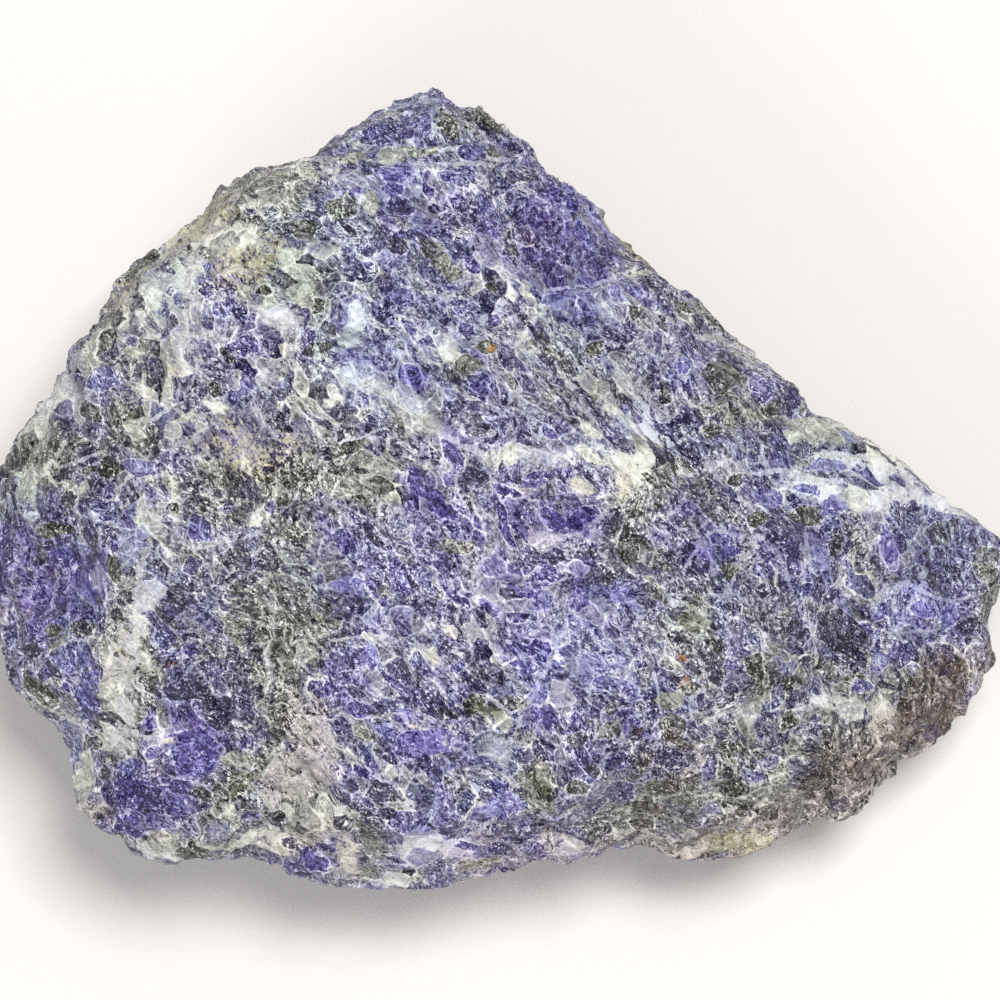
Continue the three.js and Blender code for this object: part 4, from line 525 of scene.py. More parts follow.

# Healed cracks of the upper side, and a few painted lines of light and shade along the step across the
# crown: half width, tone, and the points along it. All in mm.
SEAMS = [
    (0.2, 0.8, [(41, -7), (44, -6), (47, -8), (48.5, -11.5), (49.5, -15.5), (51, -18.5), (53.5, -21.5)]),
    (0.2, 0.8, [(34, -7), (36.5, -5), (41, -6)]),
    (0.15, 0.8, [(34, -7.5), (32.5, -10), (30.5, -13), (28, -14.5)]),
    (0.15, 0.75, [(34.5, -7), (36, -10), (36.5, -15.5)]), (0.25, 0.8, [(41, -10.5), (43, -7.5)]),
    (0.15, 0.8, [(41.5, -12), (43.5, -10), (45, -13.5), (46, -17.5)]),
    (0.15, 0.8, [(52, -6.5), (53, -10), (52, -13)]), (0.2, 0.75, [(56, -14), (58.5, -10.5), (62, -10)]),
    (0.15, 0.8, [(58.5, -15.5), (61, -17), (64, -19)]),
    (0.2, 0.85, [(64.5, -14), (68, -13.5), (72, -15.5), (73.5, -16.5), (76.5, -17), (80, -16.5)]),
    (0.25, 0.75, [(68, -13.5), (69, -18.5), (68, -22.5)]),
    (0.2, 0.85, [(64.5, -17), (67, -15.5), (69, -13.5)]), (0.15, 0.8, [(72, -9.5), (72.5, -14)]),
    (0.2, 0.85, [(45.5, 22.5), (47.5, 17.5), (51, 14.5)]),
    (0.55, 0.97, [(55.5, 8), (59.5, 7), (64.5, 7.5), (69, 5.5), (72.5, 3.5)]),
    (0.35, 0.95, [(42, 4.5), (48.5, 5), (51, 3.5), (58, 3), (61, 1.5)]),
    (0.6, 0.98, [(63, 1), (69, 0.5), (74, -0.5)]), (0.25, 0.92, [(64.5, -34.5), (66, -36.5), (66.5, -39)]),
    (0.25, 0.88, [(41, -47.5), (43, -48.5), (44.5, -48)]),
    (0.2, 0.88, [(63.5, -24), (62.5, -26), (62.5, -27.5)]), (0.2, 0.85, [(65, -45), (64, -48), (62, -50)]),
    (0.25, 0.86, [(10, -24.5), (8.5, -27), (7.5, -30.5), (6, -32.5), (4, -35), (3, -39), (2, -41.5)]),
    (0.15, 0.8, [(6, -32.5), (7, -34), (8, -35.5)]), (0.15, 0.8, [(20.5, -28), (22.5, -30.5), (24, -34)]),
    (0.2, 0.85, [(26.5, -30.5), (27, -32.5), (27, -35), (24, -36.5)]),
    (0.15, 0.8, [(30, -33), (32.5, -31), (33.5, -30.5)]),
    (0.2, 0.85, [(32.5, -36.5), (32, -34), (34, -32.5), (37.5, -31.5)]),
    (0.2, 0.72, [(24, -41.5), (24.5, -43.5), (24.5, -49.5), (24, -51)]),
    (0.15, 0.75, [(20.5, -37.5), (17, -40), (14.5, -41.5)]), (0.15, 0.8, [(17, -45), (19, -43), (24, -43)]),
    (0.2, 0.85, [(37.5, -44), (40, -46), (41, -47.5)]),
    (0.15, 0.9, [(34, -50.5), (37.5, -50.5), (41, -50.5)]),
    (0.6, 0.93, [(-26.5, 20.5), (-23, 19.5), (-19, 18), (-16, 16), (-14, 14.5)]),
    (0.45, 0.88, [(-16, 16.5), (-12.5, 13), (-8.5, 10.5), (-3.5, 8)]),
    (0.15, 0.85, [(-27, 22), (-26.5, 17), (-27.5, 13), (-28, 10)]),
    (0.15, 0.9, [(-41, -5.5), (-39, -7), (-37.5, -9)]),
    (0.15, 0.85, [(-16.5, 23), (-15.5, 20), (-14.5, 17.5)]),
    (0.15, 0.8, [(-7.5, 3.5), (-7.5, 1.5), (-7.5, 0)]),
    (0.15, 0.8, [(-16, -10), (-20.5, -17), (-22, -20.5)]),
    (0.2, 0.93, [(-59.5, 13.5), (-57.5, 15), (-55, 16.5), (-54.5, 18.5)]),
    (0.3, 0.9, [(-77, 5), (-75.5, 7.5), (-74.5, 9.5)]), (0.25, 0.85, [(-77, 5), (-71.5, 6.5), (-68, 8)]),
    (0.15, 0.85, [(-64.5, 3.5), (-62, 0)]), (0.2, 0.85, [(-51, -8.5), (-47, -7), (-41, -6)]),
    (0.15, 0.85, [(-52, -20.5), (-48.5, -17), (-45.5, -12)]),
    # A painted highlight along the edge of the step across the crown.
    (0.15, 0.85, [(-3.5, 57.5), (1.5, 58), (6.5, 59.5)]),
    (0.2, 0.88, [(9.5, 36), (15.5, 36.5), (20.5, 37.5), (24.5, 39), (26.5, 38.5)]),
    (0.25, 0.16, [(-3, 39), (1, 34.5), (4, 30.5), (8, 26)]),
    (0.2, 0.2, [(14, 23.5), (17, 20.5), (20.5, 17.5), (23.5, 14)]),
    (0.15, 0.2, [(7, 22), (10, 17.5), (13, 14.5)]), (0.15, 0.2, [(10, 23.5), (13.5, 19), (15.5, 16)]),
    # The first crack on this line is painted shade along the step across the crown.
    (0.15, 0.15, [(-26.5, 58), (-22, 57), (-19.5, 57.5)]), (0.15, 0.2, [(27, 13.5), (31.5, 8.5), (35, 3.5)]),
    (0.15, 0.2, [(24, 17), (28, 12), (32.5, 6.5)]), (0.15, 0.88, [(-10, 34), (-7, 35.5), (-4.5, 34)]),
    (0.15, 0.18, [(34, 3.5), (38, -1), (41.5, -5)]), (0.18, 0.85, [(34.5, -7.5), (32.5, -10), (31, -13.5)]),
    (0.18, 0.85, [(42, -7.5), (41, -11), (39.5, -13.5), (38.5, -16.5)]),
    (0.15, 0.8, [(24, -16), (30, -16), (34, -16.5), (39, -16)]),
    (0.18, 0.8, [(43, -17), (44, -19.5), (45.5, -21.5)]),
    (0.18, 0.8, [(52, -7.5), (52.5, -12), (55.5, -13.5)]),
    (0.15, 0.8, [(64.5, -8.5), (65, -12), (66.5, -14)]), (0.15, 0.85, [(63, -17), (65, -15.5), (69, -14.5)]),
    (0.15, 0.85, [(71.5, -12), (72, -15.5), (76.5, -17)]),
    (0.15, 0.8, [(67, -22.5), (70.5, -22.5), (74, -22)]), (0.2, 0.12, [(26.5, 12), (30.5, 5), (34, 0)]),
    (0.2, 0.12, [(32.5, 8.5), (36.5, 3.5), (40, 0)]), (0.15, 0.9, [(27.5, 10), (34, 1.5)]),
    (0.15, 0.85, [(37.5, 10), (41, 5.5)]), (0.2, 0.8, [(19, -1), (13.5, -6), (12, -8.5)]),
    (0.15, 0.85, [(24.5, -2.5), (26.5, -8.5), (25.5, -11)]),
    # The first crack on this line is a painted highlight along the edge of the step across the crown.
    (0.2, 0.85, [(-20.5, 57.5), (-13.5, 57.5), (-5, 57)]), (0.2, 0.9, [(-9.5, 52), (-6, 46), (-3, 40)]),
    (0.15, 0.8, [(-20.5, 45), (-17, 47), (-12, 46)]), (0.15, 0.85, [(-34, -22), (-29, -24), (-22, -23)]),
    (0.3, 0.85, [(-14, -24.5), (-9.5, -28)]), (0.2, 0.8, [(-29, -34), (-25.5, -37.5), (-21, -44)]),
    (0.15, 0.8, [(-7.5, -10), (-5, -15.5), (0, -18.5)]), (0.15, 0.8, [(3.5, 5), (5, 0), (7.5, -3.5)]),
    (0.15, 0.8, [(-54.5, 29), (-51, 25.5), (-52, 20.5)]),
    (0.15, 0.85, [(-41, -24), (-36.5, -29), (-35.5, -34)]),
    (0.15, 0.8, [(-70.5, -1.5), (-66.5, -5), (-61, -10)]),
    (0.2, 0.8, [(54.5, -37.5), (59.5, -34), (66.5, -35)]),
    (0.2, 0.75, [(15.5, -37.5), (20.5, -41), (27, -41.5)]), (0.15, 0.8, [(7, -18.5), (10, -24), (8.5, -29)]),
]

# Where the outline is trimmed or left fuller: u, v, reach and push outwards, in mm.
TRIMS = [
    (1, 63, 5.5, -1.7), (6, 59, 3.5, -1.2), (-37, 57, 3, -0.7), (-52, 48, 4, -1.2), (20, 45.5, 5, -0.9),
    (-67, 34.5, 2.5, -0.6), (39, 29, 6, -1), (-80.5, 14, 4, -0.9), (77.5, -1, 4, -1), (-72, -50, 5, -1.1),
    (66, -47.5, 3, -1.2), (-72, 25.5, 3.5, 1), (-80, -34, 5, 1), (71.5, -42.5, 4, 1.2), (56, -54, 3.5, 0.9),
    (30.5, -60.5, 5, 1), (-38.5, -61.5, 4, 1), (3.5, -62, 4, 0.7), (-15, -66, 3.5, 0.8), (83, -26, 4, 1.2),
]


def linear(code: str) -> tuple[float, float, float, float]:
    """A colour for a socket.

    Args:
        code: The colour as #rrggbb.

    Returns:
        Its linear red, green and blue, and a full alpha.
    """
    parts = [int(code[i : i + 2], 16) / 255 for i in (1, 3, 5)]
    return (*[c / 12.92 if c <= 0.04045 else ((c + 0.055) / 1.055) ** 2.4 for c in parts], 1.0)


def ease(t: np.ndarray) -> np.ndarray:
    """Zero at and below 0, one at and above 1, and smooth between."""
    t = np.clip(t, 0.0, 1.0)
    return t * t * (3 - 2 * t)


def soft_noise(points: np.ndarray, cell: float, seed: int) -> np.ndarray:
    """Smooth repeatable noise.

    Args:
        points: Places in mm, one row each.
        cell: The noise's cell in mm.
        seed: Chooses one noise out of many.

    Returns:
        A number from -1 to 1 for each place.
    """
    scaled = points / cell
    corner = np.floor(scaled).astype(np.int64)
    part = ease(scaled - corner)
    total = np.zeros(len(points))
    for step in np.ndindex(2, 2, 2):
        i, j, k = (corner + step).T
        mixed = (i * 73856093) ^ (j * 19349663) ^ (k * 83492791) ^ (seed * 2654435761)
        mixed = (mixed ^ (mixed >> 13)) * 1274126177 & 0xFFFFFFFF
        value = ((mixed ^ (mixed >> 16)) & 0xFFFFFF) / 0xFFFFFF
        total += value * np.prod(np.where(step, part, 1 - part), axis=1)
    return 2 * total - 1


@dataclass(frozen=True)
class FaceOnCamera:
    """The studio camera, which looks nearly straight down, and the sheet that it draws on.

    Attributes:
        aim: The point looked at, in metres.
        elevation: Its height above the horizon in degrees.
        distance: From the aim, in metres.
        span: How much of the sheet the picture is wide, in metres.
    """

    aim: tuple[float, float, float] = (-0.0005, -0.003, 0.0245)
    elevation: float = 80.0
    distance: float = 0.6
    span: float = 0.17

    def axes(self) -> tuple[np.ndarray, np.ndarray, np.ndarray]:
        """The directions to its right, up its picture, and back towards it."""
        tilt = math.radians(self.elevation)
        back = np.array([0.0, -math.cos(tilt), math.sin(tilt)])
        right = np.array([1.0, 0.0, 0.0])
        return right, np.cross(back, right), back

    def sheet(self, places: np.ndarray) -> np.ndarray:
        """Where points fall on the sheet.

        Args:
            places: Points in metres, one row each.

        Returns:
            Their u and v in mm.
        """
        right, up, back = self.axes()
        offset = places - np.array(self.aim)
        scale = self.distance / (self.distance - offset @ back) / MM
        return np.stack([offset @ right * scale, offset @ up * scale], axis=1)

    def place(self) -> None:
        """Makes the scene's camera."""
        back = Vector(self.axes()[2])
        lens = bpy.data.cameras.new("studio_camera")
        lens.sensor_width = 36.0
        lens.lens = lens.sensor_width * self.distance / self.span
        lens.clip_start, lens.clip_end = 0.01, 20.0
        camera = bpy.data.objects.new("studio_camera", lens)
        camera.location = Vector(self.aim) + back * self.distance
        camera.rotation_euler = back.to_track_quat("Z", "Y").to_euler()
        bpy.context.scene.collection.objects.link(camera)
        bpy.context.scene.camera = camera


class Bench:
    """Adds texture and maths nodes to a node tree, of a material or of Geometry Nodes.

    Both kinds of tree share these nodes, so the same pattern can be cut into the block's skin and
    painted on it.
    """

    def __init__(self, tree: bpy.types.NodeTree) -> None:
        """Works on a node tree."""
        self.tree = tree

    def add(self, kind: str, inputs: dict[object, object], **settings: object) -> bpy.types.Node:
        """Adds a node.

        Args:
            kind: The node's type name.
            inputs: For each input, by name or number, a value or the socket to link from.
            settings: The node's own properties.

        Returns:
            The node.
        """
        node = self.tree.nodes.new(kind)
        for name, value in settings.items():
            setattr(node, name, value)
        for key, value in inputs.items():
            socket = node.inputs[key]
            if isinstance(value, Socket):
                self.tree.links.new(value, socket)
            else:
                socket.default_value = value
        return node

    def maths(self, operation: str, *values: object, clamp: bool = False) -> Socket:
        """One step of arithmetic on numbers."""
        inputs = dict(enumerate(values))
        return self.add("ShaderNodeMath", inputs, operation=operation, use_clamp=clamp).outputs[0]

    def total(self, *terms: tuple[float, Socket], start: float = 0.0) -> object:
        """A start value plus each term's share of its socket."""
        result: object = start
        for share, socket in terms:
            result = self.maths("MULTIPLY_ADD", socket, share, result)
        return result

    def centred(self, *terms: tuple[float, Socket], mean: float = 0.0) -> object:
        """Each term's share of its socket, shifted so that sockets of 0.5 give the mean."""
        return self.total(*terms, start=mean - sum(share for share, _ in terms) / 2)

    def product(self, first: object, *others: object) -> object:
        """Numbers multiplied together."""
        for value in others:
            first = self.maths("MULTIPLY", first, value)
        return first

    def vector(self, operation: str, *values: object) -> Socket:
        """One step of arithmetic on vectors."""
        node = self.add("ShaderNodeVectorMath", dict(enumerate(values)), operation=operation)
        return node.outputs["Value" if operation in ("DOT_PRODUCT", "LENGTH") else "Vector"]

    def scaled(self, vector: Socket, scale: float) -> Socket:
        """A vector times a number."""
        return self.vector("MULTIPLY", vector, (scale, scale, scale))

    def step(self, value: object, low: float, high: float) -> Socket:
        """Zero below low, one above high, and smooth between; low may be above high."""
        inputs = {"Value": value, "From Min": low, "From Max": high}
        return self.add("ShaderNodeMapRange", inputs, interpolation_type="SMOOTHSTEP").outputs[0]

    def noise(
        self, place: object, size: float, detail: float = 2.0, rough: float = 0.5, twist: float = 0.0
    ) -> tuple[Socket, Socket]:
        """Cloudy noise.

        Args:
            place: Where to read it, in mm.
            size: Its largest lumps in mm.
            detail: How many finer layers it has.
            rough: How strong those are.
            twist: How much it is distorted.

        Returns:
            Its value and its colour, both about 0.5 on average.
        """
        inputs = {
            "Vector": place,
            "Scale": 1 / size,
            "Detail": detail,
            "Roughness": rough,
            "Distortion": twist,
        }
        node = self.add("ShaderNodeTexNoise", inputs, noise_dimensions="3D")
        return node.outputs[0], node.outputs[1]

    def along(self, place: object, stretch: float, way: float = LINEATION) -> Socket:
        """Turns places so that the first axis runs one way in plan, and shortens it by a factor.

        Patterns read at these places come out drawn out along the grain.
        """
        inputs = {"Vector": place, "Axis": (0.0, 0.0, 1.0), "Angle": -way}
        turned = self.add("ShaderNodeVectorRotate", inputs, rotation_type="AXIS_ANGLE").outputs[0]
        return self.vector("MULTIPLY", turned, (1 / stretch, 1.0, 1.0))

    def cells(self, place: object, size: float, blend: float = 0.0) -> dict[str, Socket]:
        """Irregular broken grains.

        Args:
            place: Where to read them, in mm.
            size: A grain's width in mm.
            blend: How softly one grain runs into the next, from 0 to 1.

        Returns:
            hue: a random colour for each grain; heart: its middle, in mm.
        """
        inputs = {"Vector": place, "Scale": 1 / size}
        feature = "F1"
        if blend > 0:
            inputs["Smoothness"] = blend
            feature = "SMOOTH_F1"
        settings = {"voronoi_dimensions": "3D", "feature": feature}
        node = self.add("ShaderNodeTexVoronoi", inputs, **settings)
        return {"hue": node.outputs["Color"], "heart": node.outputs["Position"]}

    def split(self, hue: Socket) -> list[Socket]:
        """A colour's three numbers."""
        return list(self.add("ShaderNodeSeparateColor", {0: hue}).outputs)

    def seams(self, place: object, size: float) -> Socket:
        """How far the nearest joint between grains is, as a share of the grains' size."""
        inputs = {"Vector": place, "Scale": 1 / size}
        settings = {"voronoi_dimensions": "3D", "feature": "DISTANCE_TO_EDGE"}
        return self.add("ShaderNodeTexVoronoi", inputs, **settings).outputs["Distance"]

    def facets(self, place: object, size: float, lift: float, tilt: float, blend: float) -> object:
        """The height of broken grains, each with its own level and slant.

        Args:
            place: Where to read it, in mm.
            size: A grain's width in mm.
            lift: How far grains stand above or below the mean, in mm.
            tilt: How steeply they slant.
            blend: How softly one runs into the next, from 0 to 1.

        Returns:
            A height in mm.
        """
        grains = self.cells(place, size, blend)
        centred = self.vector("SUBTRACT", grains["hue"], MIDDLE)
        offset = self.vector("SUBTRACT", place, grains["heart"])
        slant = self.vector("DOT_PRODUCT", offset, centred)
        level = self.vector("DOT_PRODUCT", centred, (0.9, 1.1, -1.0))
        return self.total((2 * tilt, slant), (lift, level))

    def ramp(self, place: object, stops: tuple[tuple[float, str], ...]) -> Socket:
        """A colour that runs through stops of place and colour."""
        node = self.tree.nodes.new("ShaderNodeValToRGB")
        self.tree.links.new(place, node.inputs[0])
        marks = node.color_ramp.elements
        while len(marks) < len(stops):
            marks.new(0.5)
        for mark, (position, code) in zip(marks, stops, strict=True):
            mark.position, mark.color = position, linear(code)
        return node.outputs[0]

    def blend(self, share: object, first: object, second: object) -> Socket:
        """One number run into another."""
        inputs = {0: share, 2: first, 3: second}
        return self.add("ShaderNodeMix", inputs, data_type="FLOAT").outputs[0]

    def mix(self, share: object, first: object, second: object) -> Socket:
        """One colour run into another."""
        inputs = {0: share, 6: first, 7: second}
        return self.add("ShaderNodeMix", inputs, data_type="RGBA").outputs[2]


@dataclass(frozen=True)
class ZonePainter:
    """Lays the patches and veins on a mesh as one number a point for each zone.

    Attributes:
        camera: The camera whose sheet they are drawn on.
        wander: How far the patches' edges wander, in mm, coarse and fine.
        wander_cell: The size of those wanderings in mm.
        raggedness: How far the drawn grains' and cracks' edges wander, in mm.
        patch_fade: Where a patch's edge starts to fade and how far it fades, as shares of its size.
        vein_fade: The same for a vein, as shares of its half width.
        sides: How many sides a drawn grain has.
        side_turn: How far each side may be turned from even, in radians.
        side_reach: How near and how far a side may be from the middle, as shares of the grain's size.
        far: The distance from a drawn grain at which it is no longer told, in mm.
        seam_far: The same for a healed crack.
        shown_from: How far a place has to face the camera to be drawn on, and how softly.
        most: The greatest strength of a zone.
    """

    camera: FaceOnCamera
    wander: tuple[float, float] = (2.6, 1.1)
    wander_cell: tuple[float, float] = (13.0, 4.5)
    raggedness: float = 0.25
    patch_fade: tuple[float, float] = (0.45, 0.9)
    vein_fade: tuple[float, float] = (0.5, 1.0)
    sides: int = 5
    side_turn: float = 0.35
    side_reach: tuple[float, float] = (0.62, 1.0)
    far: float = 3.0
    seam_far: float = 4.0
    shown_from: tuple[float, float] = (0.02, 0.3)
    most: float = 1.2

    def strength(self, zone: Zone, sheet: np.ndarray) -> np.ndarray:
        """How much of a zone is at each place of the sheet.

        Args:
            zone: The zone.
            sheet: Places in mm, one row each.

        Returns:
            A number for each, 0 where there is none.
        """
        total = np.zeros(len(sheet))
        for u, v, wide, high, percent, *turn in PATCHES.get(zone, []):
            angle = math.radians(sum(turn))
            c, s = math.cos(angle), math.sin(angle)
            du, dv = sheet[:, 0] - u, sheet[:, 1] - v
            away = np.hypot((c * du + s * dv) / wide, (c * dv - s * du) / high)
            total += percent / 100 * (1 - ease((away - self.patch_fade[0]) / self.patch_fade[1]))
        for width, strength, points in VEINS.get(zone, []):
            nearest = np.full(len(sheet), np.inf)
            for start, end in zip(points, points[1:]):
                a, b = np.array(start, float), np.array(end, float)
                along = np.clip((sheet - a) @ (b - a) / ((b - a) @ (b - a)), 0, 1)
                gap = np.linalg.norm(sheet - a - along[:, None] * (b - a), axis=1)
                nearest = np.minimum(nearest, gap)
            total += strength * (1 - ease((nearest / width - self.vein_fade[0]) / self.vein_fade[1]))
        return total

    def unseen(self, zone: Zone, points: np.ndarray) -> np.ndarray:
        """What a zone does on the sides that the sheet doesn't show.

        Args:
            zone: The zone.
            points: Places in mm, one row each.

        Returns:
            A number for each place.
        """
        seed = 40 + 7 * list(Zone).index(zone)
        broad = soft_noise(points, 21.0, seed)
        fine = soft_noise(points, 8.0, seed + 1)
        lump = 0.75 * broad + 0.35 * fine
        low, high, most = UNSEEN[zone]
        return most * ease((lump - low) / (high - low))

    def grains(self, sheet: np.ndarray) -> dict[str, np.ndarray]:
        """The drawn grain that each place of the sheet is in.

        Args:
            sheet: Places in mm, one row each.

        Returns:
            The distance to the nearest drawn grain's edge in mm, above zero inside one; and the
            tone and blueness of the smallest grain that a place is in, or of the nearest.
        """
        edge, near = np.full(len(sheet), self.far), np.full(len(sheet), self.far)
        inside = np.zeros(len(sheet), bool)
        tone, blue = np.full(len(sheet), 0.5), np.full(len(sheet), 0.5)
        chance = np.random.default_rng(GRAIN_SEED)
        even_ways = np.arange(self.sides) * math.tau / self.sides
        for u, v, long, wide, turn, shade, tint in sorted(GRAINS_AND_GLINTS, key=lambda row: -row[2] * row[3]):
            c, s = math.cos(math.radians(turn)), math.sin(math.radians(turn))
            ways = even_ways + chance.uniform(-self.side_turn, self.side_turn, self.sides)
            reach = chance.uniform(*self.side_reach, self.sides)
            du, dv = sheet[:, 0] - u, sheet[:, 1] - v
            close = np.flatnonzero(du * du + dv * dv < (1.5 * long + 2.0) ** 2)
            du, dv = du[close], dv[close]
            along, across = (c * du + s * dv) / long, (c * dv - s * du) / wide
            out = np.full(len(close), -1.0)
            for way, limit in zip(ways, reach):
                out = np.maximum(out, (math.cos(way) * along + math.sin(way) * across) / limit - 1)
            gap = out * wide
            mine = (out < 0) | (~inside[close] & (gap < near[close]))
            chosen = close[mine]
            tone[chosen], blue[chosen] = shade / 100, tint / 100
            near[close] = np.minimum(near[close], np.maximum(gap, 0))
            inside[close] |= out < 0
            edge[close] = np.minimum(edge[close], np.abs(gap))
        return {"grain_edge": np.where(inside, edge, -edge), "grain_tone": tone, "grain_blue": blue}

    def seams(self, sheet: np.ndarray) -> dict[str, np.ndarray]:
        """The healed crack nearest to each place of the sheet.

        Args:
            sheet: Places in mm, one row each.

        Returns:
            The distance to it in mm, and the same with a side, below zero on its left; and its half
            width and its tone.
        """
        away, side = np.full(len(sheet), self.seam_far), np.full(len(sheet), self.seam_far)
        width, tone = np.full(len(sheet), 0.2), np.full(len(sheet), 0.8)
        for half, shade, points in SEAMS:
            for start, end in zip(points, points[1:]):
                run = np.subtract(end, start)
                offset = sheet - start
                share = np.clip(offset @ run / (run @ run), 0, 1)
                gap = np.linalg.norm(offset - share[:, None] * run, axis=1)
                cross = (offset[:, 0] * run[1] - offset[:, 1] * run[0]) / math.hypot(*run)
                near = gap < away
                away, side = np.where(near, gap, away), np.where(near, cross, side)
                width, tone = np.where(near, half, width), np.where(near, shade, tone)
        return {"seam_away": away, "seam_side": side, "seam_width": width, "seam_tone": tone}

    def paint(self, mesh: bpy.types.Mesh) -> None:
        """Stores every zone, grain and healed crack on the mesh's points.

        Args:
            mesh: The block's skin, in metres.
        """
        places = coordinates(mesh)
        points = places / MM
        shift = np.stack([soft_noise(points, self.wander_cell[0], s) for s in (1, 2)], axis=1)
        small = np.stack([soft_noise(points, self.wander_cell[1], s) for s in (3, 4)], axis=1)
        sheet = self.camera.sheet(places)
        loose = sheet + self.wander[0] * shift + self.wander[1] * small
        facing = normals(mesh) @ self.camera.axes()[2]
        shown = ease((facing - self.shown_from[0]) / self.shown_from[1])
        for zone in Zone:
            drawn = self.strength(zone, loose)
            amount = shown * drawn + (1 - shown) * self.unseen(zone, points)
            store(mesh, zone.value, "FLOAT", np.clip(amount, 0, self.most))
        ragged = sheet + self.raggedness * small
        drawn = {**self.grains(ragged), **self.seams(ragged)}
        drawn["grain_edge"] = drawn["grain_edge"] * shown - self.far * (1 - shown)
        drawn["seam_away"] = drawn["seam_away"] + self.far * (1 - shown)
        for name, values in drawn.items():
            store(mesh, name, "FLOAT", values)


def coordinates(mesh: bpy.types.Mesh) -> np.ndarray:
    """A mesh's points, one row each."""
    flat = np.empty(len(mesh.vertices) * 3, np.float32)
    mesh.vertices.foreach_get("co", flat)
    return flat.reshape(-1, 3).astype(float)


def normals(mesh: bpy.types.Mesh) -> np.ndarray:
    """The outward direction at each of a mesh's points."""
    flat = np.empty(len(mesh.vertices) * 3, np.float32)
    mesh.vertex_normals.foreach_get("vector", flat)
    return flat.reshape(-1, 3).astype(float)


def store(mesh: bpy.types.Mesh, name: str, kind: str, values: np.ndarray) -> None:
    """Stores a value on each of a mesh's points.

    Args:
        mesh: The mesh.
        name: The attribute's name.
        kind: FLOAT or FLOAT_VECTOR.
        values: One number or row for each point.
    """
    attribute = mesh.attributes.new(name, kind, "POINT")
    key = "value" if kind == "FLOAT" else "vector"
    attribute.data.foreach_set(key, values.astype(np.float32).ravel())


@dataclass(frozen=True)
class Fabric:
    """The block's broken grains, the same in its relief and in its colours.

    Attributes:
        coarse: The size of the large grains in mm.
        fine: The size of the small grains in mm.
        crumb: The size of the crumbs in mm.
        grit: The size of the grit in mm.
        bend: How far the grain wanders, in mm.
        stretch: How much longer than wide the grains are.
        raggedness: How far the joints between grains wander, in mm.
    """

    coarse: float = 4.4
    fine: float = 2.4
    crumb: float = 0.75
    grit: float = 0.32
    bend: float = 7.0
    stretch: float = 1.55
    raggedness: float = 0.3

    def lay(self, bench: Bench, place: Socket) -> tuple[object, object]:
        """Bends and stretches the block's places so that grains follow the rock's own way.

        Args:
            bench: Where the nodes are added.
            place: The block's places, in mm.

        Returns:
            Bent places, and bent places drawn out along the grain.
        """
        drift = bench.vector("SUBTRACT", bench.noise(place, 12.0, 2.5, 0.45)[1], MIDDLE)
        loose = bench.vector("ADD", place, bench.scaled(drift, self.bend))
        return loose, bench.along(loose, self.stretch)


@dataclass(frozen=True)
class Cover:
    """A mineral that stains or coats the rock in its zone.

    Attributes:
        zone: Where it is.
        colour: Its colour.
        share: How much of what is under it is hidden, from 0 to 1.
        contrast: How strongly the rock's texture shows in it.
    """

    zone: Zone
    colour: str
    share: float
    contrast: float


@dataclass(frozen=True)
class SodaliteFinish:
    """The block's material: blue sodalite, grey nepheline and white calcite in broken grains.

    Tones run from 0, nearly black, to 1, nearly white. Blueness runs from 0, grey rock, to 1, pure
    sodalite.

    Attributes:
        fabric: The grains.
        blues: Sodalite's colours from darkest to palest.
        greys: The grey rock's colours from darkest to palest.
        calcites: The white veins' colours.
        covers: What coats the rock, from the lowest to the topmost.
        rock_tone: The tone of the rock between the grains.
        dark_tones: The lowest tone of the large and of the small dark grains.
        rock_blueness: The blueness of the rock between the grains.
        facet_slants: How far the broken faces of large, small, crumb and grit grains lean.
    """

    fabric: Fabric = Fabric()
    blues: tuple[tuple[float, str], ...] = (
        (0.0, "#100a3a"),
        (0.16, "#2d1f6a"),
        (0.30, "#473a80"),
        (0.44, "#5d5592"),
        (0.56, "#7673aa"),
        (0.68, "#908fc0"),
        (0.80, "#acabd4"),
        (0.92, "#cac9eb"),
        (1.0, "#deddf4"),
    )
    greys: tuple[tuple[float, str], ...] = (
        (0.0, "#0e0c09"),
        (0.16, "#2e2b26"),
        (0.30, "#494640"),
        (0.44, "#63605a"),
        (0.56, "#7c7c76"),
        (0.68, "#979791"),
        (0.80, "#b4b4a9"),
        (0.92, "#d4d2c6"),
        (1.0, "#e7e6dc"),
    )
    calcites: tuple[tuple[float, str], ...] = ((0.15, "#6a6968"), (0.45, "#a6a6a7"), (0.75, "#d6d6d5"))
    covers: tuple[Cover, ...] = (
        Cover(Zone.FELDSPAR, "#b5abab", share=0.75, contrast=2.2),
        Cover(Zone.CREAM, "#cbc3a0", share=0.6, contrast=1.2),
        Cover(Zone.OLIVE, "#5f6340", share=0.5, contrast=1.2),
        Cover(Zone.BROWN, "#59402f", share=0.6, contrast=1.8),
        Cover(Zone.RUST, "#b07a3c", share=0.8, contrast=0.9),
    )
    rock_tone: float = 0.565
    dark_tones: tuple[float, float] = (0.24, 0.215)
    rock_blueness: float = 0.445
    facet_slants: tuple[float, float, float, float] = (0.25, 0.45, 0.35, 0.35)

    def material(self) -> bpy.types.Material:
        """Makes the material.

        Returns:
            The material, with every colour and mask from the block's own places.
        """
        made = bpy.data.materials.new("broken_sodalite")
        made.use_nodes = True
        shader = made.node_tree.nodes["Principled BSDF"]
        mix = StoneMix(Bench(made.node_tree), self)
        inputs = {"Base Color": mix.colour, "Roughness": mix.roughness, "Normal": mix.normal}
        for name, socket in inputs.items():
            made.node_tree.links.new(socket, shader.inputs[name])
        return made


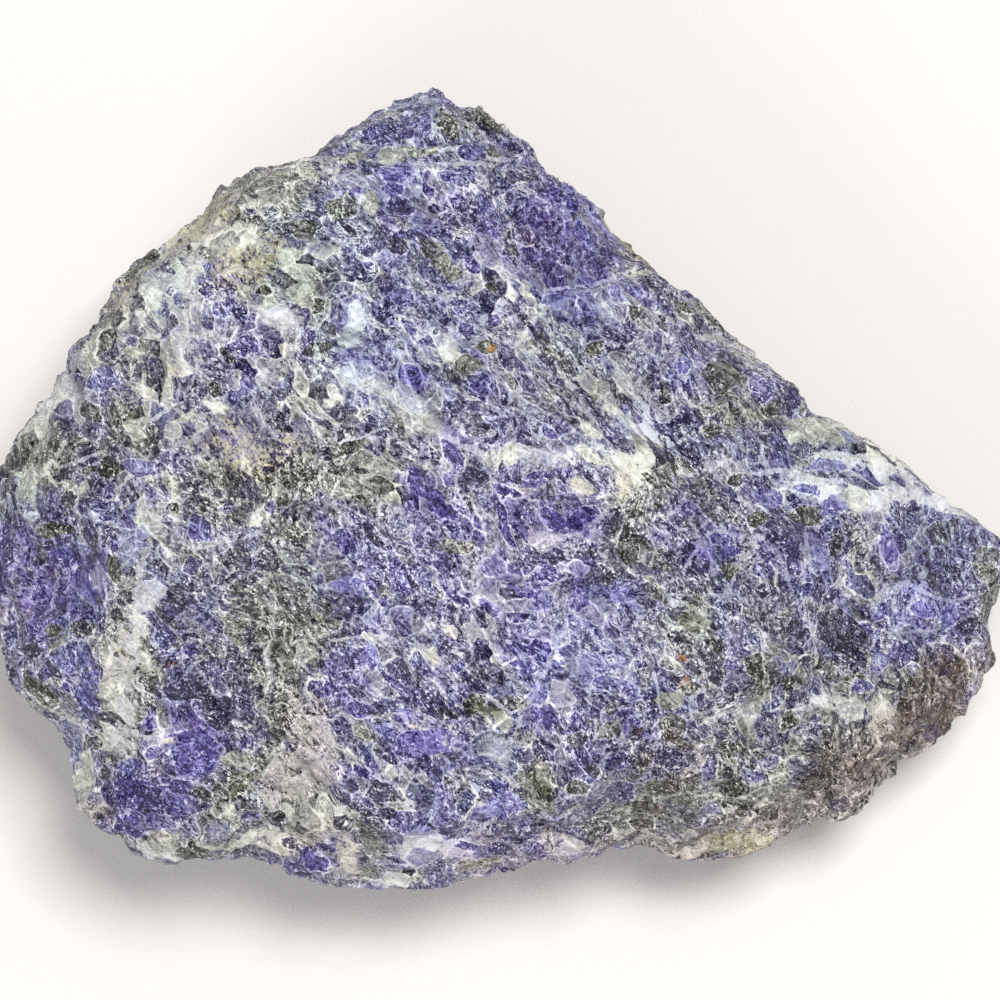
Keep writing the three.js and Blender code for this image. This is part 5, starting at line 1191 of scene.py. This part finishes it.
class StoneMix:
    """Mixes the block's finish in a node tree. Each property is a pattern or a step of the mix.

    Attributes:
        bench: Where the nodes are added.
        finish: The sizes and colours.
        zones: How much of each zone there is.
        drawn: The stored numbers of the grains and healed cracks that are drawn one by one.
        place: The block's places, in mm.
        loose: The places, bent as the rock's grain is bent.
        grain: The bent places, drawn out along the grain.
        ragged: The same, with ragged joints.
    """

    def __init__(self, bench: Bench, finish: SodaliteFinish) -> None:
        """Reads what the skin's points carry, and bends their places.

        Args:
            bench: Where the nodes are added.
            finish: The sizes and colours.
        """
        self.bench, self.finish = bench, finish
        self.zones = {zone: self.stored(zone.value) for zone in Zone}
        self.drawn = {name: self.stored(name) for name in DRAWN_NAMES}
        self.place = self.stored(REST_PLACE, "Vector")
        self.loose, self.grain = finish.fabric.lay(bench, self.place)
        jitter = bench.vector("SUBTRACT", bench.noise(self.place, 1.1, 2.0, 0.6)[1], MIDDLE)
        self.ragged = bench.vector("ADD", self.grain, bench.scaled(jitter, finish.fabric.raggedness))

    def stored(self, name: str, output: str = "Fac") -> Socket:
        """A number or a vector that the skin's points carry."""
        return self.bench.add("ShaderNodeAttribute", {}, attribute_name=name).outputs[output]

    def line(self, value: object, wide: float, narrow: float) -> Socket:
        """One where a value is 0.5 to within the narrow limit, and none past the wide limit."""
        off = self.bench.maths("ABSOLUTE", self.bench.total((1.0, value), start=-0.5))
        return self.bench.step(off, wide, narrow)

    def strokes(self, zone: Zone, size: float, way: float) -> Socket:
        """Long fine strokes in a zone, about zero on average."""
        noise = self.bench.noise(self.bench.along(self.place, 5.0, way), size, 2.0, 0.65)[0]
        return self.bench.product(self.bench.total((1.0, noise), start=-0.5), self.zones[zone])

    @cached_property
    def small_cells(self) -> dict[str, Socket]:
        """The small grains' colours and middles."""
        return self.bench.cells(self.ragged, self.finish.fabric.fine)

    @cached_property
    def hues(self) -> list[Socket]:
        """A random colour for each grain: large, small, crumb and grit."""
        bench, fabric = self.bench, self.finish.fabric
        large = bench.cells(self.ragged, fabric.coarse)["hue"]
        crumb = bench.cells(bench.along(self.loose, 1.8), fabric.crumb)["hue"]
        grit = bench.cells(bench.along(self.place, 1.3), fabric.grit)["hue"]
        return [large, self.small_cells["hue"], crumb, grit]

    @cached_property
    def chances(self) -> list[list[Socket]]:
        """Three random numbers for each grain: large, small, crumb and grit."""
        return [self.bench.split(hue) for hue in self.hues]

    @cached_property
    def clouds(self) -> tuple[Socket, Socket]:
        """Two unlike clouds, broad and fine at once."""
        elsewhere = self.bench.vector("ADD", self.grain, (37.0, 11.0, 5.0))
        first = self.bench.noise(self.grain, 6.0, 6.0, 0.66, 0.2)[0]
        return first, self.bench.noise(elsewhere, 5.0, 5.0, 0.62)[0]

    @cached_property
    def streaks(self) -> tuple[Socket, Socket]:
        """The strokes of the fibrous and of the combed parts."""
        return self.strokes(Zone.FIBRE, 0.6, LINEATION), self.strokes(Zone.COMBED, 0.7, COMBED_WAY)

    @cached_property
    def cleavage(self) -> Socket:
        """The lines of splitting inside the large grains, which run another way in each."""
        bench = self.bench
        angle = bench.maths("MULTIPLY", self.chances[0][1], math.tau)
        turn = {"Vector": self.place, "Axis": (0.3, 0.2, 1.0), "Angle": angle}
        turned = bench.add("ShaderNodeVectorRotate", turn, rotation_type="AXIS_ANGLE").outputs[0]
        return bench.noise(bench.vector("MULTIPLY", turned, (0.25, 1.0, 1.0)), 0.55, 1.5, 0.6)[0]

    @cached_property
    def hairs(self) -> list[Socket]:
        """Nets of crumpled hair cracks; the first is drawn dark, as painted shade in the cracks, and the
        second pale.
        """
        curl = self.bench.noise(self.bench.along(self.loose, 1.5), 1.3, 2.0, 0.55, 0.3)[1]
        return [self.line(part, 0.035, 0.008) for part in self.bench.split(curl)]

    @cached_property
    def uncombed(self) -> Socket:
        """One outside the combed parts, and little inside them."""
        return self.bench.total((-0.75, self.zones[Zone.COMBED]), start=1.0)

    @cached_property
    def rims(self) -> tuple[Socket, Socket]:
        """Pale healed joints of the large and the small grains, wide in places and gone in others."""
        bench, fabric, (cloud, other_cloud) = self.bench, self.finish.fabric, self.clouds
        coarse = bench.seams(self.ragged, fabric.coarse)
        gap = bench.total((1.0, coarse), (-0.22, other_cloud), start=0.06)
        fine = bench.step(bench.seams(self.ragged, fabric.fine), 0.10, 0.04)
        # Fewer where the rock is combed or pale.
        bare = bench.total((-0.5, self.zones[Zone.PALE]), start=self.uncombed)
        bare = bench.maths("MAXIMUM", bare, 0.2)
        rim = bench.product(bench.step(gap, 0.01, -0.02), bare)
        return rim, bench.product(fine, bench.step(cloud, 0.38, 0.50), bare)

    @cached_property
    def dark_grains(self) -> tuple[Socket, Socket]:
        """The large and the small grains that are darker than the rock between them."""
        bench, dark, pale = self.bench, self.zones[Zone.DARK], self.zones[Zone.PALE]
        large = bench.total((-0.45, dark), (0.45, pale), start=self.chances[0][0])
        small = bench.total((-0.35, dark), (0.35, pale), start=self.chances[1][0])
        kept = bench.total((0.3, self.uncombed), start=0.7)
        return bench.step(large, 0.43, 0.39), bench.product(bench.step(small, 0.46, 0.42), kept)

    @cached_property
    def marks(self) -> tuple[Socket, Socket, Socket]:
        """The insides of the drawn grains, their pale rims, and the healed cracks."""
        bench, drawn, (_, small, crumb, _) = self.bench, self.drawn, self.chances
        wobble = bench.centred((0.26, small[2]), (0.24, crumb[2]))
        edge = bench.maths("ADD", drawn["grain_edge"], wobble)
        rim_edge = bench.maths("ABSOLUTE", bench.total((1.0, edge), start=0.12))
        patchy = bench.total((1.0, self.clouds[1]), (0.35, crumb[1]), (0.2, small[1]))
        rim = bench.product(
            bench.step(rim_edge, 0.20, 0.09),
            bench.step(patchy, 0.52, 0.72),
            bench.step(drawn["grain_tone"], 0.85, 0.5),
        )
        side = bench.maths("ABSOLUTE", bench.total((0.5, wobble), start=drawn["seam_side"]))
        broken = bench.total((0.7, crumb[1]), (0.6, small[1]), start=0.1)
        seam = bench.product(
            bench.step(bench.maths("SUBTRACT", side, drawn["seam_width"]), 0.16, 0.02),
            bench.step(drawn["seam_away"], 1.3, 0.9),
            bench.step(broken, 0.35, 0.75),
        )
        return bench.step(edge, -0.03, 0.06), rim, seam

    @cached_property
    def plain_tone(self) -> Socket:
        """How light the rock is before its fine texture."""
        bench, drawn, (large, small, _, _) = self.bench, self.drawn, self.chances
        dark, pale = self.zones[Zone.DARK], self.zones[Zone.PALE]
        (large_grain, small_grain), (inside, drawn_rim, seam) = self.dark_grains, self.marks
        large_tone, small_tone = self.finish.dark_tones
        tone = bench.total((0.42, pale), (-0.27, dark), start=self.finish.rock_tone)
        # Painted sheen and shade: a small grain runs from lighter on one side to darker on the other, as a
        # slanted broken face catches the light.
        offset = bench.vector("SUBTRACT", self.ragged, self.small_cells["heart"])
        painted_facet_sheen = bench.vector("DOT_PRODUCT", offset, bench.vector("SUBTRACT", self.hues[1], MIDDLE))
        within = bench.total((0.32, small[2]), (0.32, painted_facet_sheen), (0.22, pale), start=small_tone)
        tone = bench.blend(bench.product(small_grain, 0.9), tone, within)
        within = bench.total((0.26, large[2]), (0.22, pale), start=large_tone)
        tone = bench.blend(bench.product(large_grain, 0.7), tone, within)
        tone = bench.total((0.22, self.rims[0]), start=tone)
        within = bench.total((0.84, drawn["grain_tone"]), (0.10, pale), (-0.08, dark), start=0.10)
        tone = bench.blend(bench.product(inside, 0.92), tone, within)
        tone = bench.total((0.26, drawn_rim), (0.20, self.rims[1]), start=tone)
        return bench.blend(bench.product(seam, 0.9), tone, drawn["seam_tone"])

    @cached_property
    def texture(self) -> Socket:
        """The rock's fine light and dark, about zero: stronger on dark grains than in pale rock. It holds
        painted glints, and painted shade in the dark hair cracks and in tiny pits.
        """
        bench, (large, small, crumb, grit) = self.bench, self.chances
        texture = bench.centred(
            (0.10, small[0]),
            (0.24, crumb[0]),
            (0.26, grit[0]),
            (0.20, self.clouds[0]),
            (0.30, self.cleavage),
            mean=-0.05,
        )
        painted_crack_shade, pale_hair, _ = self.hairs
        sliver = self.line(self.cleavage, 0.05, 0.01)
        # The dark hair cracks are painted shade in the cracks.
        texture = bench.total((0.20, sliver), (-0.40, painted_crack_shade), (0.26, pale_hair), start=texture)
        texture = bench.total((1.4, self.streaks[0]), (1.3, self.streaks[1]), start=texture)
        # Painted light: sparse tiny specks made lighter as painted glints, and sparse tiny specks made
        # darker as painted shade in pits.
        painted_glint, painted_pit_shade = bench.step(grit[1], 0.92, 0.95), bench.step(grit[2], 0.09, 0.05)
        texture = bench.total((0.30, painted_glint), (-0.40, painted_pit_shade), start=texture)
        vivid = self.zones[Zone.VIVID]
        lively = bench.total((0.65, large[2]), (-2.4, self.plain_tone), (-0.35, vivid), start=2.0)
        return bench.product(texture, bench.maths("MAXIMUM", lively, 0.25))

    @cached_property
    def tone(self) -> Socket:
        """How light the rock is."""
        terms = ((1.0, self.plain_tone), (1.0, self.texture), (-0.08, self.zones[Zone.DARK]))
        return self.bench.total(*terms, start=-0.03)

    @cached_property
    def blueness(self) -> Socket:
        """How much of the rock is sodalite."""
        bench, (_, small, crumb, _) = self.bench, self.chances
        dull, vivid, (inside, _, seam) = self.zones[Zone.GREY], self.zones[Zone.VIVID], self.marks
        grown = bench.maths("MAXIMUM", *self.dark_grains)
        terms = ((-0.50, dull), (0.27, vivid), (0.24, grown))
        blueness = bench.total(*terms, start=self.finish.rock_blueness)
        drawn = bench.total((-0.2, dull), (0.1, vivid), start=self.drawn["grain_blue"])
        blueness = bench.blend(bench.product(inside, 0.95), blueness, drawn)
        terms = ((0.22, small[1]), (0.08, crumb[1]), (0.45, self.clouds[1]))
        uneven = bench.centred(*terms, mean=-0.085)
        return bench.total((1.0, uneven), (-0.05, self.texture), (-0.05, seam), start=blueness)

    @cached_property
    def stone(self) -> Socket:
        """The colour of the sodalite and the grey rock, in places more violet or a colder blue."""
        bench, (large, small, _, _) = self.bench, self.chances
        blue, grey = bench.ramp(self.tone, self.finish.blues), bench.ramp(self.tone, self.finish.greys)
        colour = bench.mix(bench.maths("MULTIPLY", self.blueness, 1.0, clamp=True), grey, blue)
        lean = bench.total((0.5, small[2]), (0.6, large[1]), (0.3, self.clouds[0]), start=-0.65)
        lean = bench.product(lean, bench.step(self.blueness, 0.1, 0.9), bench.step(self.tone, 0.95, 0.45))
        violet, cold = self.zones[Zone.VIOLET], self.zones[Zone.COLD]
        red = bench.total((0.16, lean), (0.07, violet), (-0.05, cold), start=0.99)
        green = bench.total((-0.14, lean), (-0.03, violet), (0.018, cold), start=1.0)
        tint = bench.add("ShaderNodeCombineXYZ", {0: red, 1: green, 2: 1.0}).outputs[0]
        return bench.vector("MULTIPLY", colour, tint)

    @cached_property
    def veined(self) -> Socket:
        """The stone's colour with the white calcite, which is ragged at its edges."""
        bench, cloud, (_, small, crumb, grit) = self.bench, self.clouds[0], self.chances
        terms = ((0.9, self.zones[Zone.CALCITE]), (1.5, cloud), (0.55, crumb[1]), (0.35, small[0]))
        amount = bench.step(bench.total(*terms, start=-1.36), 0.30, 0.50)
        terms = ((0.7, cloud), (0.3, crumb[0]), (0.3, grit[0]), (0.5, self.cleavage))
        white = bench.ramp(bench.total(*terms, start=-0.35), self.finish.calcites)
        return bench.mix(bench.product(amount, 0.9), self.stone, white)

    @cached_property
    def colour(self) -> Socket:
        """The whole colour, with the covers in ragged crumbs over the rock."""
        bench, colour, (_, _, crumb, grit) = self.bench, self.veined, self.chances
        for cover in self.finish.covers:
            here = self.zones[cover.zone]
            terms = ((0.9, here), (0.6, self.clouds[1]), (0.6, crumb[2]), (0.5, grit[2]))
            amount = bench.step(bench.total(*terms, start=-1.05), 0.18, 0.42)
            amount = bench.product(amount, cover.share, bench.step(here, 0.05, 0.3))
            shade = bench.total((cover.contrast, self.texture), start=1.0)
            colour = bench.mix(amount, colour, bench.vector("MULTIPLY", linear(cover.colour)[:3], shade))
        return colour

    @cached_property
    def roughness(self) -> Socket:
        """How rough each grain's face is."""
        terms = ((0.3, self.chances[2][2]), (0.25, self.chances[1][2]), (0.3, self.clouds[1]))
        return self.bench.total(*terms, start=0.05)

    @cached_property
    def normal(self) -> Socket:
        """The way the skin faces: each grain's broken face leans its own way, with fine furrows."""
        bench = self.bench
        slant: object = (0.0, 0.0, 0.0)
        for hue, share in zip(self.hues, self.finish.facet_slants, strict=True):
            centred = bench.vector("SUBTRACT", hue, MIDDLE)
            slant = bench.vector("MULTIPLY_ADD", centred, (share, share, share), slant)
        settings = {"vector_type": "VECTOR", "convert_from": "OBJECT", "convert_to": "WORLD"}
        slant = bench.add("ShaderNodeVectorTransform", {"Vector": slant}, **settings).outputs[0]
        smooth = bench.add("ShaderNodeNewGeometry", {}).outputs["Normal"]
        faceted = bench.vector("NORMALIZE", bench.vector("ADD", smooth, slant))
        height = bench.total((0.35, self.cleavage), (0.5, self.streaks[0]), (0.5, self.streaks[1]))
        inputs = {"Height": height, "Distance": MM, "Strength": 0.8, "Normal": faceted}
        return bench.add("ShaderNodeBump", inputs).outputs[0]


@dataclass(frozen=True)
class BakeLayout:
    """Where the six sides of the block lie on the square that its colours can be baked to.

    Attributes:
        shape: The block's rough proportions, which even out the sides.
        margin: The gap kept round each side.
    """

    shape: tuple[float, float, float] = (1.0, 0.8, 0.5)
    margin: float = 0.012

    def unfold(self, mesh: bpy.types.Mesh, heart: np.ndarray) -> None:
        """Gives the mesh its map.

        Args:
            mesh: The block's skin, in metres.
            heart: The point inside it that the sides are seen from.
        """
        places = (coordinates(mesh) - heart) / np.array(self.shape)
        corners = np.empty(len(mesh.loops), np.int64)
        mesh.loops.foreach_get("vertex_index", corners)
        starts = np.empty(len(mesh.polygons), np.int64)
        mesh.polygons.foreach_get("loop_start", starts)
        counts = np.diff(np.append(starts, len(corners)))
        face = np.repeat(np.arange(len(starts)), counts)
        middle = np.add.reduceat(places[corners], starts, axis=0)
        axis = np.abs(middle).argmax(axis=1)
        sign = np.sign(middle[np.arange(len(middle)), axis]).astype(int)
        # For each side: the corner of its room on the square, and the room's width and height.
        rooms = {
            (2, 1): (0.0, 0.0, 0.62, 0.5),
            (2, -1): (0.0, 0.5, 0.62, 0.5),
            (0, 1): (0.62, 0.0, 0.38, 0.25),
            (0, -1): (0.62, 0.25, 0.38, 0.25),
            (1, 1): (0.62, 0.5, 0.38, 0.25),
            (1, -1): (0.62, 0.75, 0.38, 0.25),
        }
        uv = np.zeros((len(corners), 2))
        for (a, s), (x, y, wide, high) in rooms.items():
            mine = ((axis == a) & (sign == s))[face]
            rays = places[corners[mine]]
            others = [b for b in range(3) if b != a]
            flat = rays[:, others] / np.abs(rays[:, [a]])
            spread = np.abs(flat).max() if len(flat) else 1.0
            flat = 0.5 + 0.5 * flat / spread
            uv[mine, 0] = x + self.margin + flat[:, 0] * (wide - 2 * self.margin)
            uv[mine, 1] = y + self.margin + flat[:, 1] * (high - 2 * self.margin)
        layer = mesh.uv_layers.new(name="OFBake")
        layer.data.foreach_set("uv", uv.astype(np.float32).ravel())


@dataclass
class SodaliteBlock:
    """The block itself: the CAD solid's skin, broken up finely, and its minerals.

    Attributes:
        camera: The camera whose sheet the minerals are drawn on.
        finish: The material.
        triangles: How many the finished skin keeps.
        step_sizes: Widths in mm of the broken steps, and for each its lift in mm and its slant.
        facet_blend: How softly one broken step runs into the next, from 0 to 1.
        fibre_depth: How deep the fibrous parts are furrowed, in mm.
        furrow: A furrow's width in mm, and how much longer than wide it is.
        calcite_calm: How much lower the steps are in the veins, as a share.
        foot: The heights in mm between which the relief fades out towards the resting spot.
    """

    camera: FaceOnCamera
    finish: SodaliteFinish = field(default_factory=SodaliteFinish)
    mesh_size: tuple[float, float] = (0.00046, 0.0012)
    triangles: int = 196000
    step_sizes: tuple[tuple[float, float, float], ...] = (
        (4.4, 0.38, 0.17),
        (2.4, 0.20, 0.18),
        (0.95, 0.07, 0.14),
    )
    facet_blend: float = 0.1
    fibre_depth: float = 0.5
    furrow: tuple[float, float] = (1.6, 7.0)
    calcite_calm: float = 0.6
    foot: tuple[float, float] = (0.05, 1.5)

    def skin(self) -> bpy.types.Object:
        """An even fine mesh over the CAD solid.

        Returns:
            The new piece.
        """
        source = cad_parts[STONE_NODE]
        rough = bpy.data.objects.new("rough_sodalite_block", source.data.copy())
        bpy.context.scene.collection.objects.link(rough)
        remesh = rough.modifiers.new("even_mesh", "REMESH")
        remesh.mode = "VOXEL"
        remesh.voxel_size = self.mesh_size[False]
        self.apply(rough)
        return rough

    def apply(self, piece: bpy.types.Object) -> None:
        """Makes what a piece's modifiers show its own mesh."""
        graph = bpy.context.evaluated_depsgraph_get()
        mesh = bpy.data.meshes.new_from_object(piece.evaluated_get(graph))
        piece.modifiers.clear()
        old, piece.data = piece.data, mesh
        bpy.data.meshes.remove(old)

    def relief(self, piece: bpy.types.Object) -> None:
        """Breaks the skin into fine steps and furrows.

        Args:
            piece: The block, with its zones painted and its rest places stored.
        """
        tree = bpy.data.node_groups.new("fine_fractures", "GeometryNodeTree")
        tree.interface.new_socket("Geometry", in_out="INPUT", socket_type="NodeSocketGeometry")
        tree.interface.new_socket("Geometry", in_out="OUTPUT", socket_type="NodeSocketGeometry")
        bench = Bench(tree)
        place = self.read(bench, REST_PLACE, "FLOAT_VECTOR")
        grain = self.finish.fabric.lay(bench, place)[1]
        height: object = 0.0
        for size, lift, tilt in self.step_sizes:
            facets = bench.facets(grain, size, lift, tilt, self.facet_blend)
            height = bench.maths("ADD", height, facets)
        width, stretch = self.furrow
        furrow = bench.noise(bench.along(place, stretch), width, 2.0)[0]
        furrow = bench.maths("SUBTRACT", furrow, 0.5)
        fibre = self.read(bench, Zone.FIBRE.value, "FLOAT")
        furrow = bench.maths("MULTIPLY", furrow, fibre)
        height = bench.total((2 * self.fibre_depth, furrow), start=height)
        calcite = self.read(bench, Zone.CALCITE.value, "FLOAT")
        calm = bench.total((-self.calcite_calm, calcite), start=1.0)
        height = bench.maths("MULTIPLY", height, calm)
        level = bench.add("ShaderNodeSeparateXYZ", {0: place}).outputs["Z"]
        height = bench.maths("MULTIPLY", height, bench.step(level, *self.foot))
        normal = bench.add("GeometryNodeInputNormal", {}).outputs[0]
        inputs = {0: normal, "Scale": bench.maths("MULTIPLY", height, MM)}
        move = bench.add("ShaderNodeVectorMath", inputs, operation="SCALE").outputs[0]
        start = tree.nodes.new("NodeGroupInput").outputs[0]
        shaped = bench.add("GeometryNodeSetPosition", {"Geometry": start, "Offset": move}).outputs[0]
        tree.links.new(shaped, tree.nodes.new("NodeGroupOutput").inputs[0])
        modifier = piece.modifiers.new("fine_fractures", "NODES")
        modifier.node_group = tree
        self.apply(piece)

    def read(self, bench: Bench, name: str, kind: str) -> Socket:
        """An attribute of the skin, inside Geometry Nodes."""
        node = bench.add("GeometryNodeInputNamedAttribute", {"Name": name}, data_type=kind)
        return next(socket for socket in node.outputs if socket.enabled and socket.name == "Attribute")

    def thin(self, piece: bpy.types.Object) -> None:
        """Takes out triangles where the skin is even, so that its edges keep the fine ones."""
        share = self.triangles / (2 * len(piece.data.polygons))
        if share < 1:
            collapse = piece.modifiers.new("thinned", "DECIMATE")
            collapse.ratio = share
            collapse.use_collapse_triangulate = True
            self.apply(piece)

    def trim(self, mesh: bpy.types.Mesh) -> None:
        """Pushes parts of the rim in or out in plan, to the block's own outline."""
        places = coordinates(mesh)
        sheet = self.camera.sheet(places)
        for u, v, reach, push in TRIMS:
            weight = np.exp(-((sheet - (u, v)) ** 2).sum(axis=1) / reach**2)
            places[:, :2] += weight[:, None] * np.array([u, v]) / math.hypot(u, v) * push * MM
        mesh.vertices.foreach_set("co", places.astype(np.float32).ravel())
        mesh.update()

    def hold(self, mesh: bpy.types.Mesh) -> None:
        """Keeps the skin inside the CAD solid's box, and nothing below its resting spot."""
        low, high = (np.array(corner) for corner in CAD_BOX)
        held = np.clip(coordinates(mesh), low, high)
        mesh.vertices.foreach_set("co", held.astype(np.float32).ravel())
        mesh.update()

    def build(self) -> bpy.types.Object:
        """Builds and dresses the block.

        Returns:
            The piece, which stands for the CAD solid.
        """
        piece = self.skin()
        self.trim(piece.data)
        store(piece.data, REST_PLACE, "FLOAT_VECTOR", coordinates(piece.data) / MM)
        ZonePainter(self.camera).paint(piece.data)
        self.relief(piece)
        self.thin(piece)
        self.hold(piece.data)
        heart = np.array(sum(CAD_BOX, Vector()) / 2)
        BakeLayout().unfold(piece.data, heart)
        piece.data.shade_smooth()
        piece.data.materials.clear()
        piece.data.materials.append(self.finish.material())
        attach(piece, "root")
        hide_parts(STONE_NODE)
        return piece


@dataclass(frozen=True)
class Lamp:
    """A soft rectangular studio light.

    Attributes:
        name: Its name.
        place: Where it is, in metres.
        size: The side of its face, in metres.
        power: In watts.
        tint: Its colour.
    """

    name: str
    place: tuple[float, float, float]
    size: float
    power: float
    tint: str = "#ffffff"

    def hang(self) -> None:
        """Makes the light, turned to the block."""
        data = bpy.data.lights.new(self.name, "AREA")
        data.shape, data.size, data.energy = "SQUARE", self.size, self.power
        data.color = linear(self.tint)[:3]
        lamp = bpy.data.objects.new(self.name, data)
        lamp.location = self.place
        lamp.rotation_euler = Vector(self.place).to_track_quat("Z", "Y").to_euler()
        bpy.context.scene.collection.objects.link(lamp)


@dataclass(frozen=True)
class Studio:
    """The plain pale room round the block.

    Attributes:
        floor_reach: Half the floor's side, in metres.
        floor_colour: The floor's colour.
        sky: The light from all round, as a colour and a strength.
        lamps: The soft lights.
    """

    floor_reach: float = 4.0
    floor_colour: str = "#e9e6e0"
    sky: tuple[str, float] = ("#f8f8ff", 0.42)
    lamps: tuple[Lamp, ...] = (
        Lamp("overhead_softbox", (0.22, 0.18, 1.0), 0.4, 8.5),
        Lamp("front_fill", (-0.6, -0.8, 0.6), 0.5, 4.5),
    )

    def set_up(self) -> bpy.types.Object:
        """Makes the floor, the sky and the lights.

        Returns:
            The floor.
        """
        r = self.floor_reach
        mesh = bpy.data.meshes.new("floor")
        mesh.from_pydata([(-r, -r, 0), (r, -r, 0), (r, r, 0), (-r, r, 0)], [], [(0, 1, 2, 3)])
        floor = bpy.data.objects.new("floor", mesh)
        bpy.context.scene.collection.objects.link(floor)
        paint = bpy.data.materials.new("pale_floor")
        paint.use_nodes = True
        shader = paint.node_tree.nodes["Principled BSDF"]
        shader.inputs["Base Color"].default_value = linear(self.floor_colour)
        shader.inputs["Roughness"].default_value = 0.8
        mesh.materials.append(paint)
        world = bpy.data.worlds.new("soft_sky")
        world.use_nodes = True
        background = world.node_tree.nodes["Background"]
        background.inputs["Color"].default_value = linear(self.sky[0])
        background.inputs["Strength"].default_value = self.sky[1]
        scene = bpy.context.scene
        scene.world = world
        scene.view_settings.view_transform = "Standard"
        scene.cycles.use_denoising = False
        for lamp in self.lamps:
            lamp.hang()
        return floor


def main() -> None:
    """Builds the scene and reports each piece."""
    logging.basicConfig(level=logging.INFO, format="%(name)s: %(message)s", stream=sys.stdout)
    camera = FaceOnCamera()
    camera.place()
    studio = Studio()
    floor = studio.set_up()
    LOG.info("%s: %d lamps", floor.name, len(studio.lamps))
    block = SodaliteBlock(camera).build()
    LOG.info("%s: %d points, %d faces", block.name, len(block.data.vertices), len(block.data.polygons))


if __name__ == "__main__":
    main()
